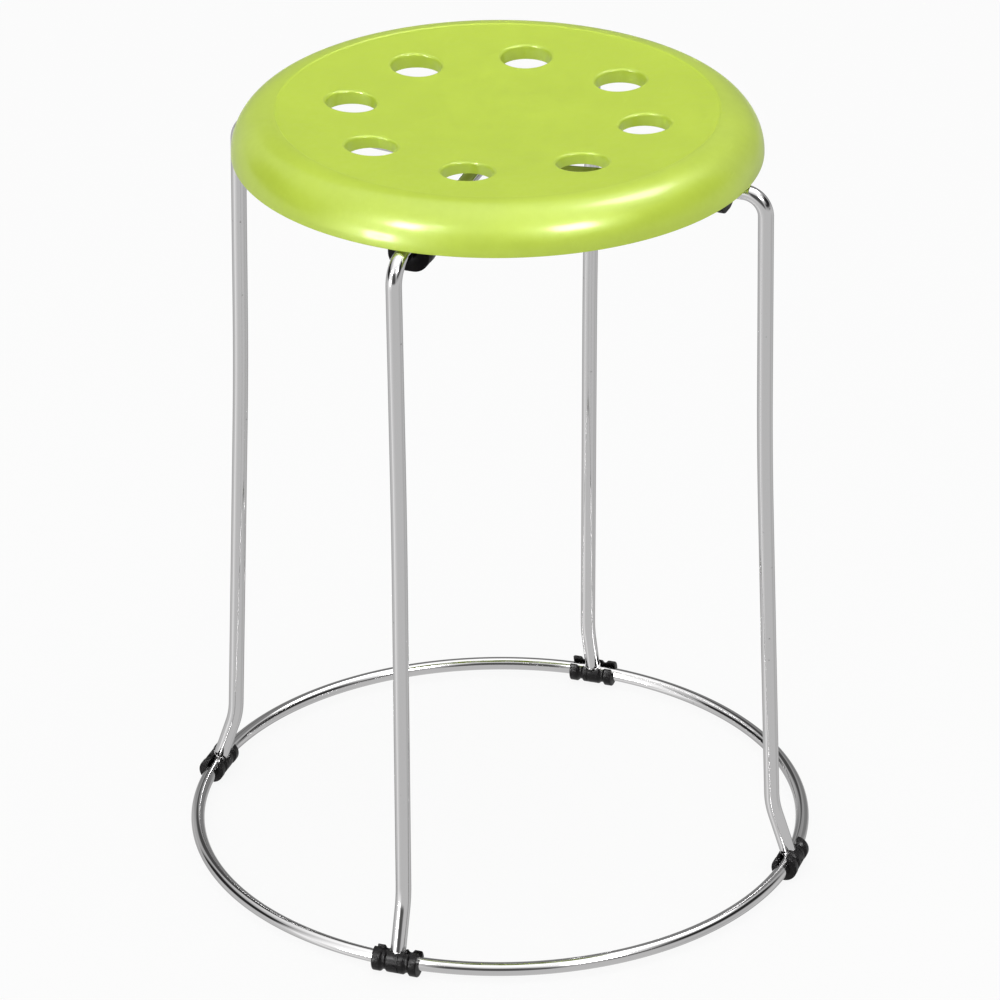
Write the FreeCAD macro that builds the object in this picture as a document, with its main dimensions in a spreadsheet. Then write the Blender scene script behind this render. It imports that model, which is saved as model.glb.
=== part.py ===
import FreeCAD, Part
import math
import os
import Sketcher

# A stackable wire stool. The origin is on the floor under the middle of the seat,
# the feet stand on the X and Y axes, and +Z is up. Lengths are in millimetres.

SIZES = {
    # Seat shell
    "seat_radius": 150.0,
    "crest_height": 462.0,
    "rim_radius": 24.6,
    "rim_skirt": 0.3,
    "shell_wall": 3.5,
    "dish_step": 1.0,
    "dish_depth": 0.6,
    "dish_fall": 4.9,
    "dish_flat_radius": 40.0,
    "dish_bend_radius": 300.0,
    "crest_rounding": 1.0,
    "crease_rounding": 1.0,
    "skirt_rounding": 0.25,
    # Holes through the seat and the collars round them
    "hole_radius": 14.5,
    "hole_margin": 25.9,
    "hole_lip": 1.6,
    "collar_wall": 2.0,
    "collar_height": 10.3,
    # Ribs under the seat
    "rib_thickness": 2.0,
    "rib_height": 5.8,
    "rib_margin": 15.5,
    # Wires
    "leg_wire_radius": 4.5,
    "leg_stand_off": 8.8,
    "corner_bend_radius": 13.0,
    "joggle_inner": 40.0,
    "joggle_inset": 58.8,
    "joggle_bend_radius": 200.0,
    "knee_out": 1.6,
    "knee_height": 275.0,
    "knee_bend_radius": 3000.0,
    "ankle_in": 12.0,
    "ankle_height": 43.0,
    "ankle_bend_radius": 50.0,
    # Base ring and the welds
    "ring_reach": 30.6,
    "ring_wire_radius": 4.0,
    "weld_gap": 0.2,
    "weld_bite": 1.0,
    "weld_bead": 0.7,
    "weld_climb": 1.6,
    "crossing_weld_radius": 4.2,
    "crossing_weld_reach": 2.2,
    # Foot clips
    "clip_length": 27.0,
    "clip_flange_radius": 7.7,
    "clip_flange_width": 4.5,
    "clip_neck_radius": 6.2,
    "clip_neck_width": 1.4,
    "clip_slope": 1.4,
    "clip_bulge_radius": 7.4,
    "clip_rounding": 0.6,
    "clip_fit": 0.15,
    "clip_slot": 6.4,
    "clip_sole": 0.2,
    "clip_line_place": 2.3,
    "clip_line_width": 0.7,
    "clip_line_depth": 0.4,
    "clip_pip_radius": 0.9,
    "clip_pip_rise": 0.4,
    # Saddles and their bosses
    "saddle_inset": 13.0,
    "saddle_length": 12.5,
    "saddle_half_width": 12.0,
    "saddle_depth": 12.7,
    "saddle_corner": 9.5,
    "saddle_floor": 6.0,
    "web_thickness": 3.0,
    "boss_radius": 3.6,
    # Screws
    "screw_spacing": 15.2,
    "screw_radius": 1.75,
    "screw_length": 18.0,
    "screw_tip": 2.0,
    "screw_head_radius": 2.9,
    "screw_head_height": 2.2,
    "screw_recess_width": 0.9,
    "screw_recess_reach": 1.7,
    "screw_recess_depth": 1.2,
    "screw_fit": 0.15,
    # Clearance between pieces that seat on each other, and overrun of cuts
    "seat_gap": 0.3,
    "overrun": 2.0,
    # Angles in degrees: how far the feet are turned from the wires' tops, the first hole, and
    # the turn back to the seat's seam, which runs clear of holes, ribs and bosses
    "twist": 1.8,
    "first_hole_angle": 9.4,
    "seam_angle": 8.0,
}

HOLE_COUNT = 8
LEG_COUNT = 4
FULL_TURN = 360.0
# Two lengths are the same when they differ by less than this share of them
same_share = 1e-5

doc = FreeCAD.newDocument("WireStool")


# Sizes that remember the sheet's cells

class Size:
    """A number together with the expression that ties it to the sheet."""

    def __init__(self, number, text):
        self.number = number
        self.text = text

    def __add__(self, other):
        other = as_size(other)
        return Size(self.number + other.number, f"({self.text} + {other.text})")

    def __sub__(self, other):
        other = as_size(other)
        return Size(self.number - other.number, f"({self.text} - {other.text})")

    def __mul__(self, other):
        other = as_size(other)
        return Size(self.number * other.number, f"({self.text} * {other.text})")

    def __truediv__(self, other):
        other = as_size(other)
        return Size(self.number / other.number, f"({self.text} / {other.text})")

    def __neg__(self):
        return Size(-self.number, f"(0 - {self.text})")


def as_size(value):
    return value if isinstance(value, Size) else Size(float(value), f"{value}")


def root(value):
    return Size(math.sqrt(value.number), f"sqrt({value.text})")


def cosine(angle):
    return Size(math.cos(math.radians(angle.number)), f"cos({angle.text} * 1 deg)")


def sine(angle):
    return Size(math.sin(math.radians(angle.number)), f"sin({angle.text} * 1 deg)")


def arcsine_degrees(value):
    return Size(math.degrees(math.asin(value.number)), f"asin({value.text}) / 1 deg")


def make_sheet():
    sheet = doc.addObject("Spreadsheet::Sheet", "Sizes")
    for row, (alias, number) in enumerate(SIZES.items(), start=1):
        sheet.set(f"A{row}", alias)
        sheet.set(f"B{row}", str(number))
        sheet.setAlias(f"B{row}", alias)
    doc.recompute()
    return {alias: Size(float(sheet.get(alias)), f"Sizes.{alias}") for alias in SIZES}


S = make_sheet()
ZERO = Size(0.0, "0")

# Heights and reaches that follow from the driving sizes
dish_edge_height = S["crest_height"] - S["dish_depth"]
dish_floor = dish_edge_height - S["dish_fall"]
ceiling_floor = dish_floor - S["shell_wall"]
widest_height = S["crest_height"] - S["rim_radius"]
skirt_height = widest_height - S["rim_skirt"]
crest_reach = S["seat_radius"] - S["rim_radius"]
dish_radius = crest_reach - S["dish_step"]
hole_circle_radius = dish_radius - S["hole_margin"] - S["hole_radius"]
collar_radius = S["hole_radius"] + S["collar_wall"]
ring_rib_radius = hole_circle_radius - collar_radius - S["rib_margin"]
inner_rim_radius = S["rim_radius"] - S["shell_wall"]
rim_ceiling = widest_height + inner_rim_radius

# The bend that leads from the dish's flat middle into its straight slope, and where it ends
bend_middle = (S["dish_flat_radius"], dish_floor + S["dish_bend_radius"])
edge_across = dish_radius - bend_middle[0]
edge_upward = dish_edge_height - bend_middle[1]
edge_distance_squared = edge_across * edge_across + edge_upward * edge_upward
slope_length = root(edge_distance_squared - S["dish_bend_radius"] * S["dish_bend_radius"])
bend_share = S["dish_bend_radius"] / edge_distance_squared
bend_end = (
    bend_middle[0] + bend_share * (S["dish_bend_radius"] * edge_across + slope_length * edge_upward),
    bend_middle[1] + bend_share * (S["dish_bend_radius"] * edge_upward - slope_length * edge_across))
dish_slope = (dish_edge_height - bend_end[1]) / (dish_radius - bend_end[0])
ceiling_start = (S["dish_flat_radius"] + bend_end[0]) / 2
ceiling_slope = (rim_ceiling - ceiling_floor) / (crest_reach - ceiling_start)
wire_height = skirt_height - S["seat_gap"] - S["leg_wire_radius"]
crossing_offset = S["leg_wire_radius"] + S["weld_gap"] / 2
leg_top_reach = S["seat_radius"] + S["leg_stand_off"]
ring_radius = S["seat_radius"] + S["ring_reach"]
ring_height = S["clip_flange_radius"] - S["clip_sole"]
joggle_outer = leg_top_reach - S["joggle_inset"]
arch_end = (joggle_outer + leg_top_reach) / 2
lean = arcsine_degrees(ring_radius * sine(S["twist"]) / (wire_height - ring_height))
saddle_start = S["seat_radius"] - S["saddle_inset"] - S["saddle_length"]
saddle_middle = saddle_start + S["saddle_length"] / 2
boss_bottom = wire_height + S["seat_gap"] / 2
saddle_top = wire_height - S["seat_gap"] / 2
wire_groove = S["leg_wire_radius"] + S["seat_gap"]
wire_groove_edge = root(wire_groove * wire_groove - S["seat_gap"] * S["seat_gap"] / 4)
screw_seat = wire_height - S["saddle_floor"]

# The direction of a leg's last straight run, from the ring's middle up to the ankle
ankle_reach = ring_radius - S["ankle_in"]
ankle_rise = S["ankle_height"] - ring_height
ankle_run = root(S["ankle_in"] * S["ankle_in"] + ankle_rise * ankle_rise)
inward_share = S["ankle_in"] / ankle_run
upward_share = ankle_rise / ankle_run


def along_leg(distance, aside=ZERO):
    """A point on the leg's last run, at a distance from the ring's middle, and aside of it."""
    across = distance * inward_share + aside * upward_share
    upward = distance * upward_share - aside * inward_share
    return ring_radius - across, ring_height + upward


# Sketches

def make_body(label, angle=ZERO):
    body = doc.addObject("PartDesign::Body", label)
    body.Label = label
    body.Placement = FreeCAD.Placement(
        FreeCAD.Vector(0, 0, 0), FreeCAD.Rotation(FreeCAD.Vector(0, 0, 1), angle.number))
    if angle.text != "0":
        body.setExpression("Placement.Rotation.Angle", angle.text)
    return body


def origin_part(body, role):
    for feature in body.Origin.OriginFeatures:
        if feature.Role == role:
            return feature
    raise ValueError(role)


def make_sketch(body, name, plane, offset=ZERO):
    """A sketch on one of the body's origin planes, moved along the plane's normal."""
    sketch = body.newObject("Sketcher::SketchObject", f"{body.Name}_{name}")
    sketch.AttachmentSupport = (origin_part(body, plane), [""])
    sketch.MapMode = "FlatFace"
    if offset.text != "0":
        sketch.AttachmentOffset = FreeCAD.Placement(
            FreeCAD.Vector(0, 0, offset.number), FreeCAD.Rotation())
        sketch.setExpression("AttachmentOffset.Base.z", offset.text)
    return sketch


def bind(sketch, constraint, size):
    index = sketch.addConstraint(constraint)
    sketch.setExpression(f"Constraints[{index}]", size.text)


def pin_coordinate(sketch, kind, axis, element, point, size):
    if size.number == 0:
        sketch.addConstraint(Sketcher.Constraint("PointOnObject", element, point, axis))
    elif size.number > 0:
        bind(sketch, Sketcher.Constraint(kind, -1, 1, element, point, size.number), size)
    else:
        bind(sketch, Sketcher.Constraint(kind, element, point, -1, 1, -size.number), -size)


def pin(sketch, element, point, place):
    pin_coordinate(sketch, "DistanceX", -2, element, point, place[0])
    pin_coordinate(sketch, "DistanceY", -1, element, point, place[1])


def vector(place):
    return FreeCAD.Vector(place[0].number, place[1].number, 0)


def add_circle(sketch, centre, radius):
    circle = sketch.addGeometry(
        Part.Circle(vector(centre), FreeCAD.Vector(0, 0, 1), radius.number), False)
    bind(sketch, Sketcher.Constraint("Radius", circle, radius.number), radius)
    pin(sketch, circle, 3, centre)


def arc_between(start, end, centre, anticlockwise):
    """An arc from start to end, with the sketch points that are its start and its end."""
    first, last = (start, end) if anticlockwise else (end, start)
    circle = Part.Circle(centre, FreeCAD.Vector(0, 0, 1), (start - centre).Length)
    angles = [math.atan2((p - centre).y, (p - centre).x) for p in (first, last)]
    arc = Part.ArcOfCircle(circle, angles[0], angles[1])
    return (arc, 1, 2) if anticlockwise else (arc, 2, 1)


def add_outline(sketch, corners):
    """A closed outline through pinned corners.

    A corner is (place,) where a straight side leaves it, or (place, centre, radius,
    anticlockwise) where an arc leaves it for the next corner.
    """
    parts = []
    for number, corner in enumerate(corners):
        start = vector(corner[0])
        end = vector(corners[(number + 1) % len(corners)][0])
        if len(corner) == 1:
            element = sketch.addGeometry(Part.LineSegment(start, end), False)
            parts.append((element, 1, 2))
        else:
            arc, first, last = arc_between(start, end, vector(corner[1]), corner[3])
            element = sketch.addGeometry(arc, False)
            bind(sketch, Sketcher.Constraint("Radius", element, corner[2].number), corner[2])
            parts.append((element, first, last))
    for number, (element, first, last) in enumerate(parts):
        following = parts[(number + 1) % len(parts)]
        sketch.addConstraint(
            Sketcher.Constraint("Coincident", element, last, following[0], following[1]))
        pin(sketch, element, first, corners[number][0])


def add_rectangle(sketch, low, high):
    add_outline(sketch, [
        ((low[0], low[1]),), ((high[0], low[1]),), ((high[0], high[1]),), ((low[0], high[1]),)])


def add_bent_path(sketch, places, radii):
    """An open path of straight runs through named places, joined by tangent bends."""
    points = [vector(place) for place in places]
    bends = []
    for before, here, after, radius in zip(points, points[1:], points[2:], radii):
        inward = (before - here).normalize()
        outward = (after - here).normalize()
        half_angle = inward.getAngle(outward) / 2
        reach = radius.number / math.tan(half_angle)
        middle = (inward + outward).normalize() * (radius.number / math.sin(half_angle))
        turns_left = (here - before).cross(after - here).z > 0
        bends.append((here + inward * reach, here + outward * reach, here + middle, turns_left))
    starts = [points[0]] + [bend[1] for bend in bends]
    ends = [bend[0] for bend in bends] + [points[-1]]
    lines = [sketch.addGeometry(Part.LineSegment(a, b), False) for a, b in zip(starts, ends)]
    pin(sketch, lines[0], 1, places[0])
    pin(sketch, lines[-1], 2, places[-1])
    for number, (bend, radius) in enumerate(zip(bends, radii)):
        arc, first, last = arc_between(bend[0], bend[1], bend[2], bend[3])
        element = sketch.addGeometry(arc, False)
        before, after = lines[number], lines[number + 1]
        sketch.addConstraint(Sketcher.Constraint("Tangent", before, 2, element, first))
        sketch.addConstraint(Sketcher.Constraint("Tangent", element, last, after, 1))
        bind(sketch, Sketcher.Constraint("Radius", element, radius.number), radius)
        corner = sketch.addGeometry(Part.Point(points[number + 1]), True)
        pin(sketch, corner, 1, places[number + 1])
        sketch.addConstraint(Sketcher.Constraint("PointOnObject", corner, 1, before))
        sketch.addConstraint(Sketcher.Constraint("PointOnObject", corner, 1, after))


# Features

def add_feature(body, kind, name, profile):
    feature = body.newObject(f"PartDesign::{kind}", f"{body.Name}_{name}")
    feature.Profile = (profile, [""])
    return feature


def revolve(body, kind, name, profile, axis):
    feature = add_feature(body, kind, name, profile)
    feature.ReferenceAxis = axis
    feature.Angle = FULL_TURN
    return feature


def pad(body, kind, name, profile, length, reverse=False, both=False):
    feature = add_feature(body, kind, name, profile)
    feature.Length = length.number
    feature.setExpression("Length", length.text)
    feature.Reversed = reverse
    feature.Midplane = both
    return feature


def sweep(body, name, profile, spine):
    feature = add_feature(body, "AdditivePipe", name, profile)
    feature.Spine = (spine, [""])
    return feature


def repeat(body, name, originals, count):
    """Copies of features about the body's upright axis, evenly spaced over a full turn."""
    pattern = body.newObject("PartDesign::PolarPattern", f"{body.Name}_{name}")
    pattern.Originals = originals
    pattern.Axis = (origin_part(body, "Z_Axis"), [""])
    pattern.Angle = FULL_TURN
    pattern.Occurrences = count
    body.Tip = pattern
    return pattern


def round_edges(body, name, radius, chosen):
    """Rounds the edges for which chosen says yes."""
    doc.recompute()
    base = body.Tip
    fillet = body.newObject("PartDesign::Fillet", f"{body.Name}_{name}")
    fillet.Base = (base, [
        f"Edge{number}" for number, edge in enumerate(base.Shape.Edges, start=1)
        if chosen(edge)])
    fillet.Radius = radius.number
    fillet.setExpression("Radius", radius.text)
    body.Tip = fillet
    return fillet


def circle_at(radius, height):
    """Says yes to a level circular edge of this radius at this height."""
    near = same_share * height.number
    return lambda edge: (
        isinstance(edge.Curve, Part.Circle)
        and abs(edge.Curve.Radius - radius.number) < near
        and abs(edge.Curve.Center.z - height.number) < near)


def whole_circle(edge):
    return isinstance(edge.Curve, Part.Circle) and len(edge.Vertexes) == 1


def hole_edge(edge):
    """Says yes to the edge of a hole in the slope of the dish."""
    return (
        not isinstance(edge.Curve, (Part.Circle, Part.Line))
        and edge.BoundBox.ZMin > dish_floor.number)


# Seat

def make_seat():
    body = make_body("seat", -S["twist"])
    upright = (origin_part(body, "Z_Axis"), [""])
    rim_middle = (crest_reach, widest_height)
    inner_wall = S["seat_radius"] - S["shell_wall"]

    section = make_sketch(body, "section", "XZ_Plane")
    turn_section(section)
    add_outline(section, [
        ((ZERO, dish_floor),),
        ((ZERO, ceiling_floor),),
        ((ceiling_start, ceiling_floor),),
        ((crest_reach, rim_ceiling), rim_middle, inner_rim_radius, False),
        ((inner_wall, widest_height),),
        ((inner_wall, skirt_height),),
        ((S["seat_radius"], skirt_height),),
        ((S["seat_radius"], widest_height), rim_middle, S["rim_radius"], True),
        ((crest_reach, S["crest_height"]),),
        ((dish_radius, dish_edge_height),),
        (bend_end, bend_middle, S["dish_bend_radius"], False),
        ((S["dish_flat_radius"], dish_floor),),
    ])
    revolve(body, "Revolution", "shell", section, upright)
    round_edges(body, "crest", S["crest_rounding"], circle_at(crest_reach, S["crest_height"]))
    round_edges(body, "crease", S["crease_rounding"], circle_at(dish_radius, dish_edge_height))
    round_edges(body, "skirt", S["skirt_rounding"], circle_at(S["seat_radius"], skirt_height))

    hole_place = (
        hole_circle_radius * cosine(S["first_hole_angle"]),
        hole_circle_radius * sine(S["first_hole_angle"]))
    collar_bottom = dish_edge_height - S["collar_height"]
    dish_above = dish_edge_height - dish_slope * (dish_radius - hole_circle_radius + collar_radius)
    ceiling_above = rim_ceiling - ceiling_slope * (crest_reach - hole_circle_radius - collar_radius)
    collar_top = (dish_above + ceiling_above) / 2
    collar_circle = make_sketch(body, "collar_circle", "XY_Plane", collar_bottom)
    add_circle(collar_circle, hole_place, collar_radius)
    collar = pad(body, "Pad", "collar", collar_circle, collar_top - collar_bottom)
    repeat(body, "collars", [collar], HOLE_COUNT)

    hole_circle = make_sketch(body, "hole_circle", "XY_Plane", S["crest_height"])
    add_circle(hole_circle, hole_place, S["hole_radius"])
    hole_depth = S["dish_depth"] + S["collar_height"] + S["overrun"]
    hole = pad(body, "Pocket", "hole", hole_circle, hole_depth)
    repeat(body, "holes", [hole], HOLE_COUNT)
    round_edges(body, "lips", S["hole_lip"], hole_edge)

    make_ribs(body)
    make_saddle_bosses(body)
    return body


def turn_section(sketch):
    """Turns a section about the upright axis, so the shell's seam runs clear of what joins it."""
    sketch.AttachmentOffset = FreeCAD.Placement(
        FreeCAD.Vector(0, 0, 0), FreeCAD.Rotation(FreeCAD.Vector(0, 1, 0), (-S["seam_angle"]).number))
    sketch.setExpression("AttachmentOffset.Rotation.Angle", (-S["seam_angle"]).text)


def make_ribs(body):
    rib_bottom = ceiling_floor - S["rib_height"]
    rib_depth = S["rib_height"] + S["shell_wall"] / 2
    ring_outline = make_sketch(body, "ring_rib_outline", "XY_Plane", rib_bottom)
    add_circle(ring_outline, (ZERO, ZERO), ring_rib_radius)
    add_circle(ring_outline, (ZERO, ZERO), ring_rib_radius - S["rib_thickness"])
    pad(body, "Pad", "ring_rib", ring_outline, rib_depth)

    rib_outline = make_sketch(body, "spoke_rib_outline", "XZ_Plane")
    rib_start = ring_rib_radius - S["rib_thickness"] / 2
    rib_end = crest_reach + S["shell_wall"]
    add_outline(rib_outline, [
        ((rib_start, rib_bottom),), ((rib_end, rib_bottom),),
        ((rib_end, rim_ceiling + S["shell_wall"] / 4),),
        ((rib_start, ceiling_floor + S["shell_wall"] / 2),)])
    half_step = S["first_hole_angle"] + FULL_TURN / HOLE_COUNT / 2
    rib_outline.AttachmentOffset = FreeCAD.Placement(
        FreeCAD.Vector(0, 0, 0), FreeCAD.Rotation(FreeCAD.Vector(0, 1, 0), half_step.number))
    rib_outline.setExpression("AttachmentOffset.Rotation.Angle", half_step.text)
    rib = pad(body, "Pad", "spoke_rib", rib_outline, S["rib_thickness"], both=True)
    repeat(body, "spoke_ribs", [rib], HOLE_COUNT)


def make_saddle_bosses(body):
    boss_top = rim_ceiling + S["shell_wall"] / 2
    web_end = S["screw_spacing"] / 2
    web_outline = make_sketch(body, "web_outline", "YZ_Plane", saddle_middle)
    add_outline(web_outline, [
        ((-web_end, boss_bottom),),
        ((-wire_groove_edge, boss_bottom), (ZERO, wire_height), wire_groove, False),
        ((wire_groove_edge, boss_bottom),),
        ((web_end, boss_bottom),),
        ((web_end, boss_top),),
        ((-web_end, boss_top),),
    ])
    web = pad(body, "Pad", "web", web_outline, S["web_thickness"], both=True)
    repeat(body, "saddle_webs", [web], LEG_COUNT)

    screw_places = [(saddle_middle, web_end), (saddle_middle, -web_end)]
    boss_circles = make_sketch(body, "boss_circles", "XY_Plane", boss_bottom)
    for place in screw_places:
        add_circle(boss_circles, place, S["boss_radius"])
    bosses = pad(body, "Pad", "bosses", boss_circles, boss_top - boss_bottom)

    pilot_circles = make_sketch(body, "pilot_circles", "XY_Plane", boss_bottom)
    for place in screw_places:
        add_circle(pilot_circles, place, S["screw_radius"] + S["screw_fit"])
    pilot_depth = S["screw_length"] - S["saddle_floor"] + S["seat_gap"]
    pilots = pad(body, "Pocket", "pilots", pilot_circles, pilot_depth, reverse=True)
    repeat(body, "saddle_bosses", [bosses, pilots], LEG_COUNT)


# Wires: an arch under the seat, with a leg at each end

def make_wire(label, angle, crossing_sign):
    body = make_body(label, angle)
    middle_height = wire_height + crossing_offset * crossing_sign

    arch_path = make_sketch(body, "arch_path", "XZ_Plane")
    add_bent_path(
        arch_path,
        [(-arch_end, wire_height), (-joggle_outer, wire_height),
         (-S["joggle_inner"], middle_height), (S["joggle_inner"], middle_height),
         (joggle_outer, wire_height), (arch_end, wire_height)],
        [S["joggle_bend_radius"]] * 4)
    arch_section = make_sketch(body, "arch_section", "YZ_Plane", -arch_end)
    add_circle(arch_section, (ZERO, wire_height), S["leg_wire_radius"])
    sweep(body, "arch", arch_section, arch_path)

    leg_path = make_sketch(body, "leg_path", "XZ_Plane")
    lean_leg_sketch(leg_path)
    leg_end = S["ring_wire_radius"] - S["weld_bite"]
    add_bent_path(
        leg_path,
        [(arch_end, wire_height), (leg_top_reach, wire_height),
         (leg_top_reach + S["knee_out"], S["knee_height"]),
         (ankle_reach, S["ankle_height"]), along_leg(leg_end)],
        [S["corner_bend_radius"], S["knee_bend_radius"], S["ankle_bend_radius"]])
    leg_section = make_sketch(body, "leg_section", "YZ_Plane", arch_end)
    add_circle(leg_section, (ZERO, wire_height), S["leg_wire_radius"])
    leg = sweep(body, "leg", leg_section, leg_path)
    repeat(body, "legs", [leg], 2)

    cope_circle = make_sketch(body, "cope_circle", "XZ_Plane")
    add_circle(cope_circle, (ring_radius, ring_height), S["ring_wire_radius"] + S["weld_gap"])
    revolve(body, "Groove", "cope", cope_circle, (origin_part(body, "Z_Axis"), [""]))
    return body


def lean_leg_sketch(sketch):
    """Turns a sketch about the wire's level run, so the leg leans round towards its foot."""
    sketch.AttachmentOffset = FreeCAD.Placement(
        FreeCAD.Vector(0, 0, 0), FreeCAD.Rotation(FreeCAD.Vector(1, 0, 0), lean.number))
    sketch.setExpression("AttachmentOffset.Rotation.Angle", lean.text)
    sketch.setExpression("AttachmentOffset.Base.y", (wire_height * (as_size(1) - cosine(lean))).text)
    sketch.setExpression("AttachmentOffset.Base.z", (-(wire_height * sine(lean))).text)


# Base ring

def make_base_ring():
    body = make_body("base_ring")
    section = make_sketch(body, "section", "XZ_Plane")
    add_circle(section, (ring_radius, ring_height), S["ring_wire_radius"])
    revolve(body, "Revolution", "ring", section, (origin_part(body, "Z_Axis"), [""]))
    return body


# Welds

def make_foot_weld(label, angle):
    """A bead round the leg's end, coped to sit on the ring."""
    body = make_body(label, angle)
    inner = S["leg_wire_radius"]
    outer = inner + S["weld_bead"]
    leg_end = S["ring_wire_radius"] - S["weld_bite"]
    top = S["ring_wire_radius"] + S["weld_climb"]

    bead = make_sketch(body, "bead", "XZ_Plane")
    lean_leg_sketch(bead)
    add_outline(bead, [
        (along_leg(leg_end, inner),), (along_leg(leg_end, outer),),
        (along_leg(top, outer - S["weld_bead"] / 2),), (along_leg(top, inner),)])
    add_axis_line(bead, along_leg(leg_end), along_leg(top))
    revolve(body, "Revolution", "bead_turn", bead, (bead, ["Axis0"]))

    cope = make_sketch(body, "cope", "XZ_Plane")
    add_circle(cope, (ring_radius, ring_height), S["ring_wire_radius"])
    revolve(body, "Groove", "cope_cut", cope, (origin_part(body, "Z_Axis"), [""]))
    return body


def add_axis_line(sketch, start, end):
    line = sketch.addGeometry(Part.LineSegment(vector(start), vector(end)), True)
    pin(sketch, line, 1, start)
    pin(sketch, line, 2, end)


def make_crossing_weld():
    body = make_body("crossing_weld", -S["twist"])
    reach = S["crossing_weld_reach"]
    puck_circle = make_sketch(body, "puck_circle", "XY_Plane", wire_height - reach)
    add_circle(puck_circle, (ZERO, ZERO), S["crossing_weld_radius"])
    pad(body, "Pad", "puck", puck_circle, reach * 2)
    for name, plane, sign in (("upper", "XZ_Plane", 1), ("lower", "YZ_Plane", -1)):
        wire_circle = make_sketch(body, f"{name}_wire", plane)
        centre = (ZERO, wire_height + crossing_offset * sign)
        add_circle(wire_circle, centre, S["leg_wire_radius"])
        width = (S["crossing_weld_radius"] + S["overrun"]) * 2
        pad(body, "Pocket", f"{name}_groove", wire_circle, width, both=True)
    return body


# Foot clips

def make_foot_clip(label, angle):
    body = make_body(label, angle)
    half_length = S["clip_length"] / 2
    flange_inner = half_length - S["clip_flange_width"]
    neck_outer = flange_inner - S["clip_slope"]
    neck_inner = neck_outer - S["clip_neck_width"]
    bulge_edge = neck_inner - S["clip_slope"]
    steps = [
        (half_length, S["clip_flange_radius"]), (flange_inner, S["clip_flange_radius"]),
        (neck_outer, S["clip_neck_radius"]), (neck_inner, S["clip_neck_radius"]),
        (bulge_edge, S["clip_bulge_radius"])]

    profile = make_sketch(body, "profile", "YZ_Plane", ring_radius)
    outline = [(place, ring_height + reach) for place, reach in steps]
    outline += [(-place, ring_height + reach) for place, reach in reversed(steps)]
    ends = [(-half_length, ring_height), (half_length, ring_height)]
    add_outline(profile, [(corner,) for corner in outline + ends])
    add_axis_line(profile, ends[0], ends[1])
    revolve(body, "Revolution", "barrel", profile, (profile, ["Axis0"]))
    round_edges(body, "rounding", S["clip_rounding"], whole_circle)

    line_low = S["clip_line_place"] - S["clip_line_width"] / 2
    line_high = S["clip_line_place"] + S["clip_line_width"] / 2
    line_profile = make_sketch(body, "line_profile", "YZ_Plane", ring_radius)
    add_rectangle(
        line_profile,
        (line_low, ring_height + S["clip_bulge_radius"] - S["clip_line_depth"]),
        (line_high, ring_height + S["clip_bulge_radius"] + S["overrun"]))
    add_axis_line(line_profile, ends[0], ends[1])
    revolve(body, "Groove", "line", line_profile, (line_profile, ["Axis0"]))

    pip_circle = make_sketch(body, "pip_circle", "YZ_Plane", ring_radius + S["clip_neck_radius"])
    add_circle(pip_circle, (ZERO, ring_height), S["clip_pip_radius"])
    pip_length = S["clip_bulge_radius"] - S["clip_neck_radius"] + S["clip_pip_rise"]
    pad(body, "Pad", "pip", pip_circle, pip_length)

    bore = make_sketch(body, "bore", "XZ_Plane")
    add_circle(bore, (ring_radius, ring_height), S["ring_wire_radius"] + S["clip_fit"])
    revolve(body, "Groove", "bore_cut", bore, (origin_part(body, "Z_Axis"), [""]))

    half_slot = S["clip_slot"] / 2
    slot_reach = S["clip_flange_radius"] + S["overrun"]
    slot = make_sketch(body, "slot", "XZ_Plane")
    add_outline(slot, [
        (along_leg(ZERO, half_slot),), (along_leg(ZERO, -half_slot),),
        (along_leg(slot_reach, -half_slot),), (along_leg(slot_reach, half_slot),)])
    pad(body, "Pocket", "slot_cut", slot, S["clip_length"] + S["overrun"] * 2, both=True)

    leg_room = S["leg_wire_radius"] + S["weld_bead"] + S["seat_gap"]
    notch = make_sketch(body, "notch", "XZ_Plane")
    add_outline(notch, [
        (along_leg(ZERO),), (along_leg(ZERO, leg_room),),
        (along_leg(slot_reach, leg_room),), (along_leg(slot_reach),)])
    add_axis_line(notch, along_leg(ZERO), along_leg(slot_reach))
    revolve(body, "Groove", "notch_cut", notch, (notch, ["Axis0"]))

    sole = make_sketch(body, "sole", "XZ_Plane")
    add_rectangle(
        sole, (ring_radius - S["clip_flange_radius"], -S["overrun"]),
        (ring_radius + S["clip_flange_radius"], ZERO))
    pad(body, "Pocket", "sole_cut", sole, S["clip_length"] + S["overrun"] * 2, both=True)
    return body


# Saddles under the seat

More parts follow.
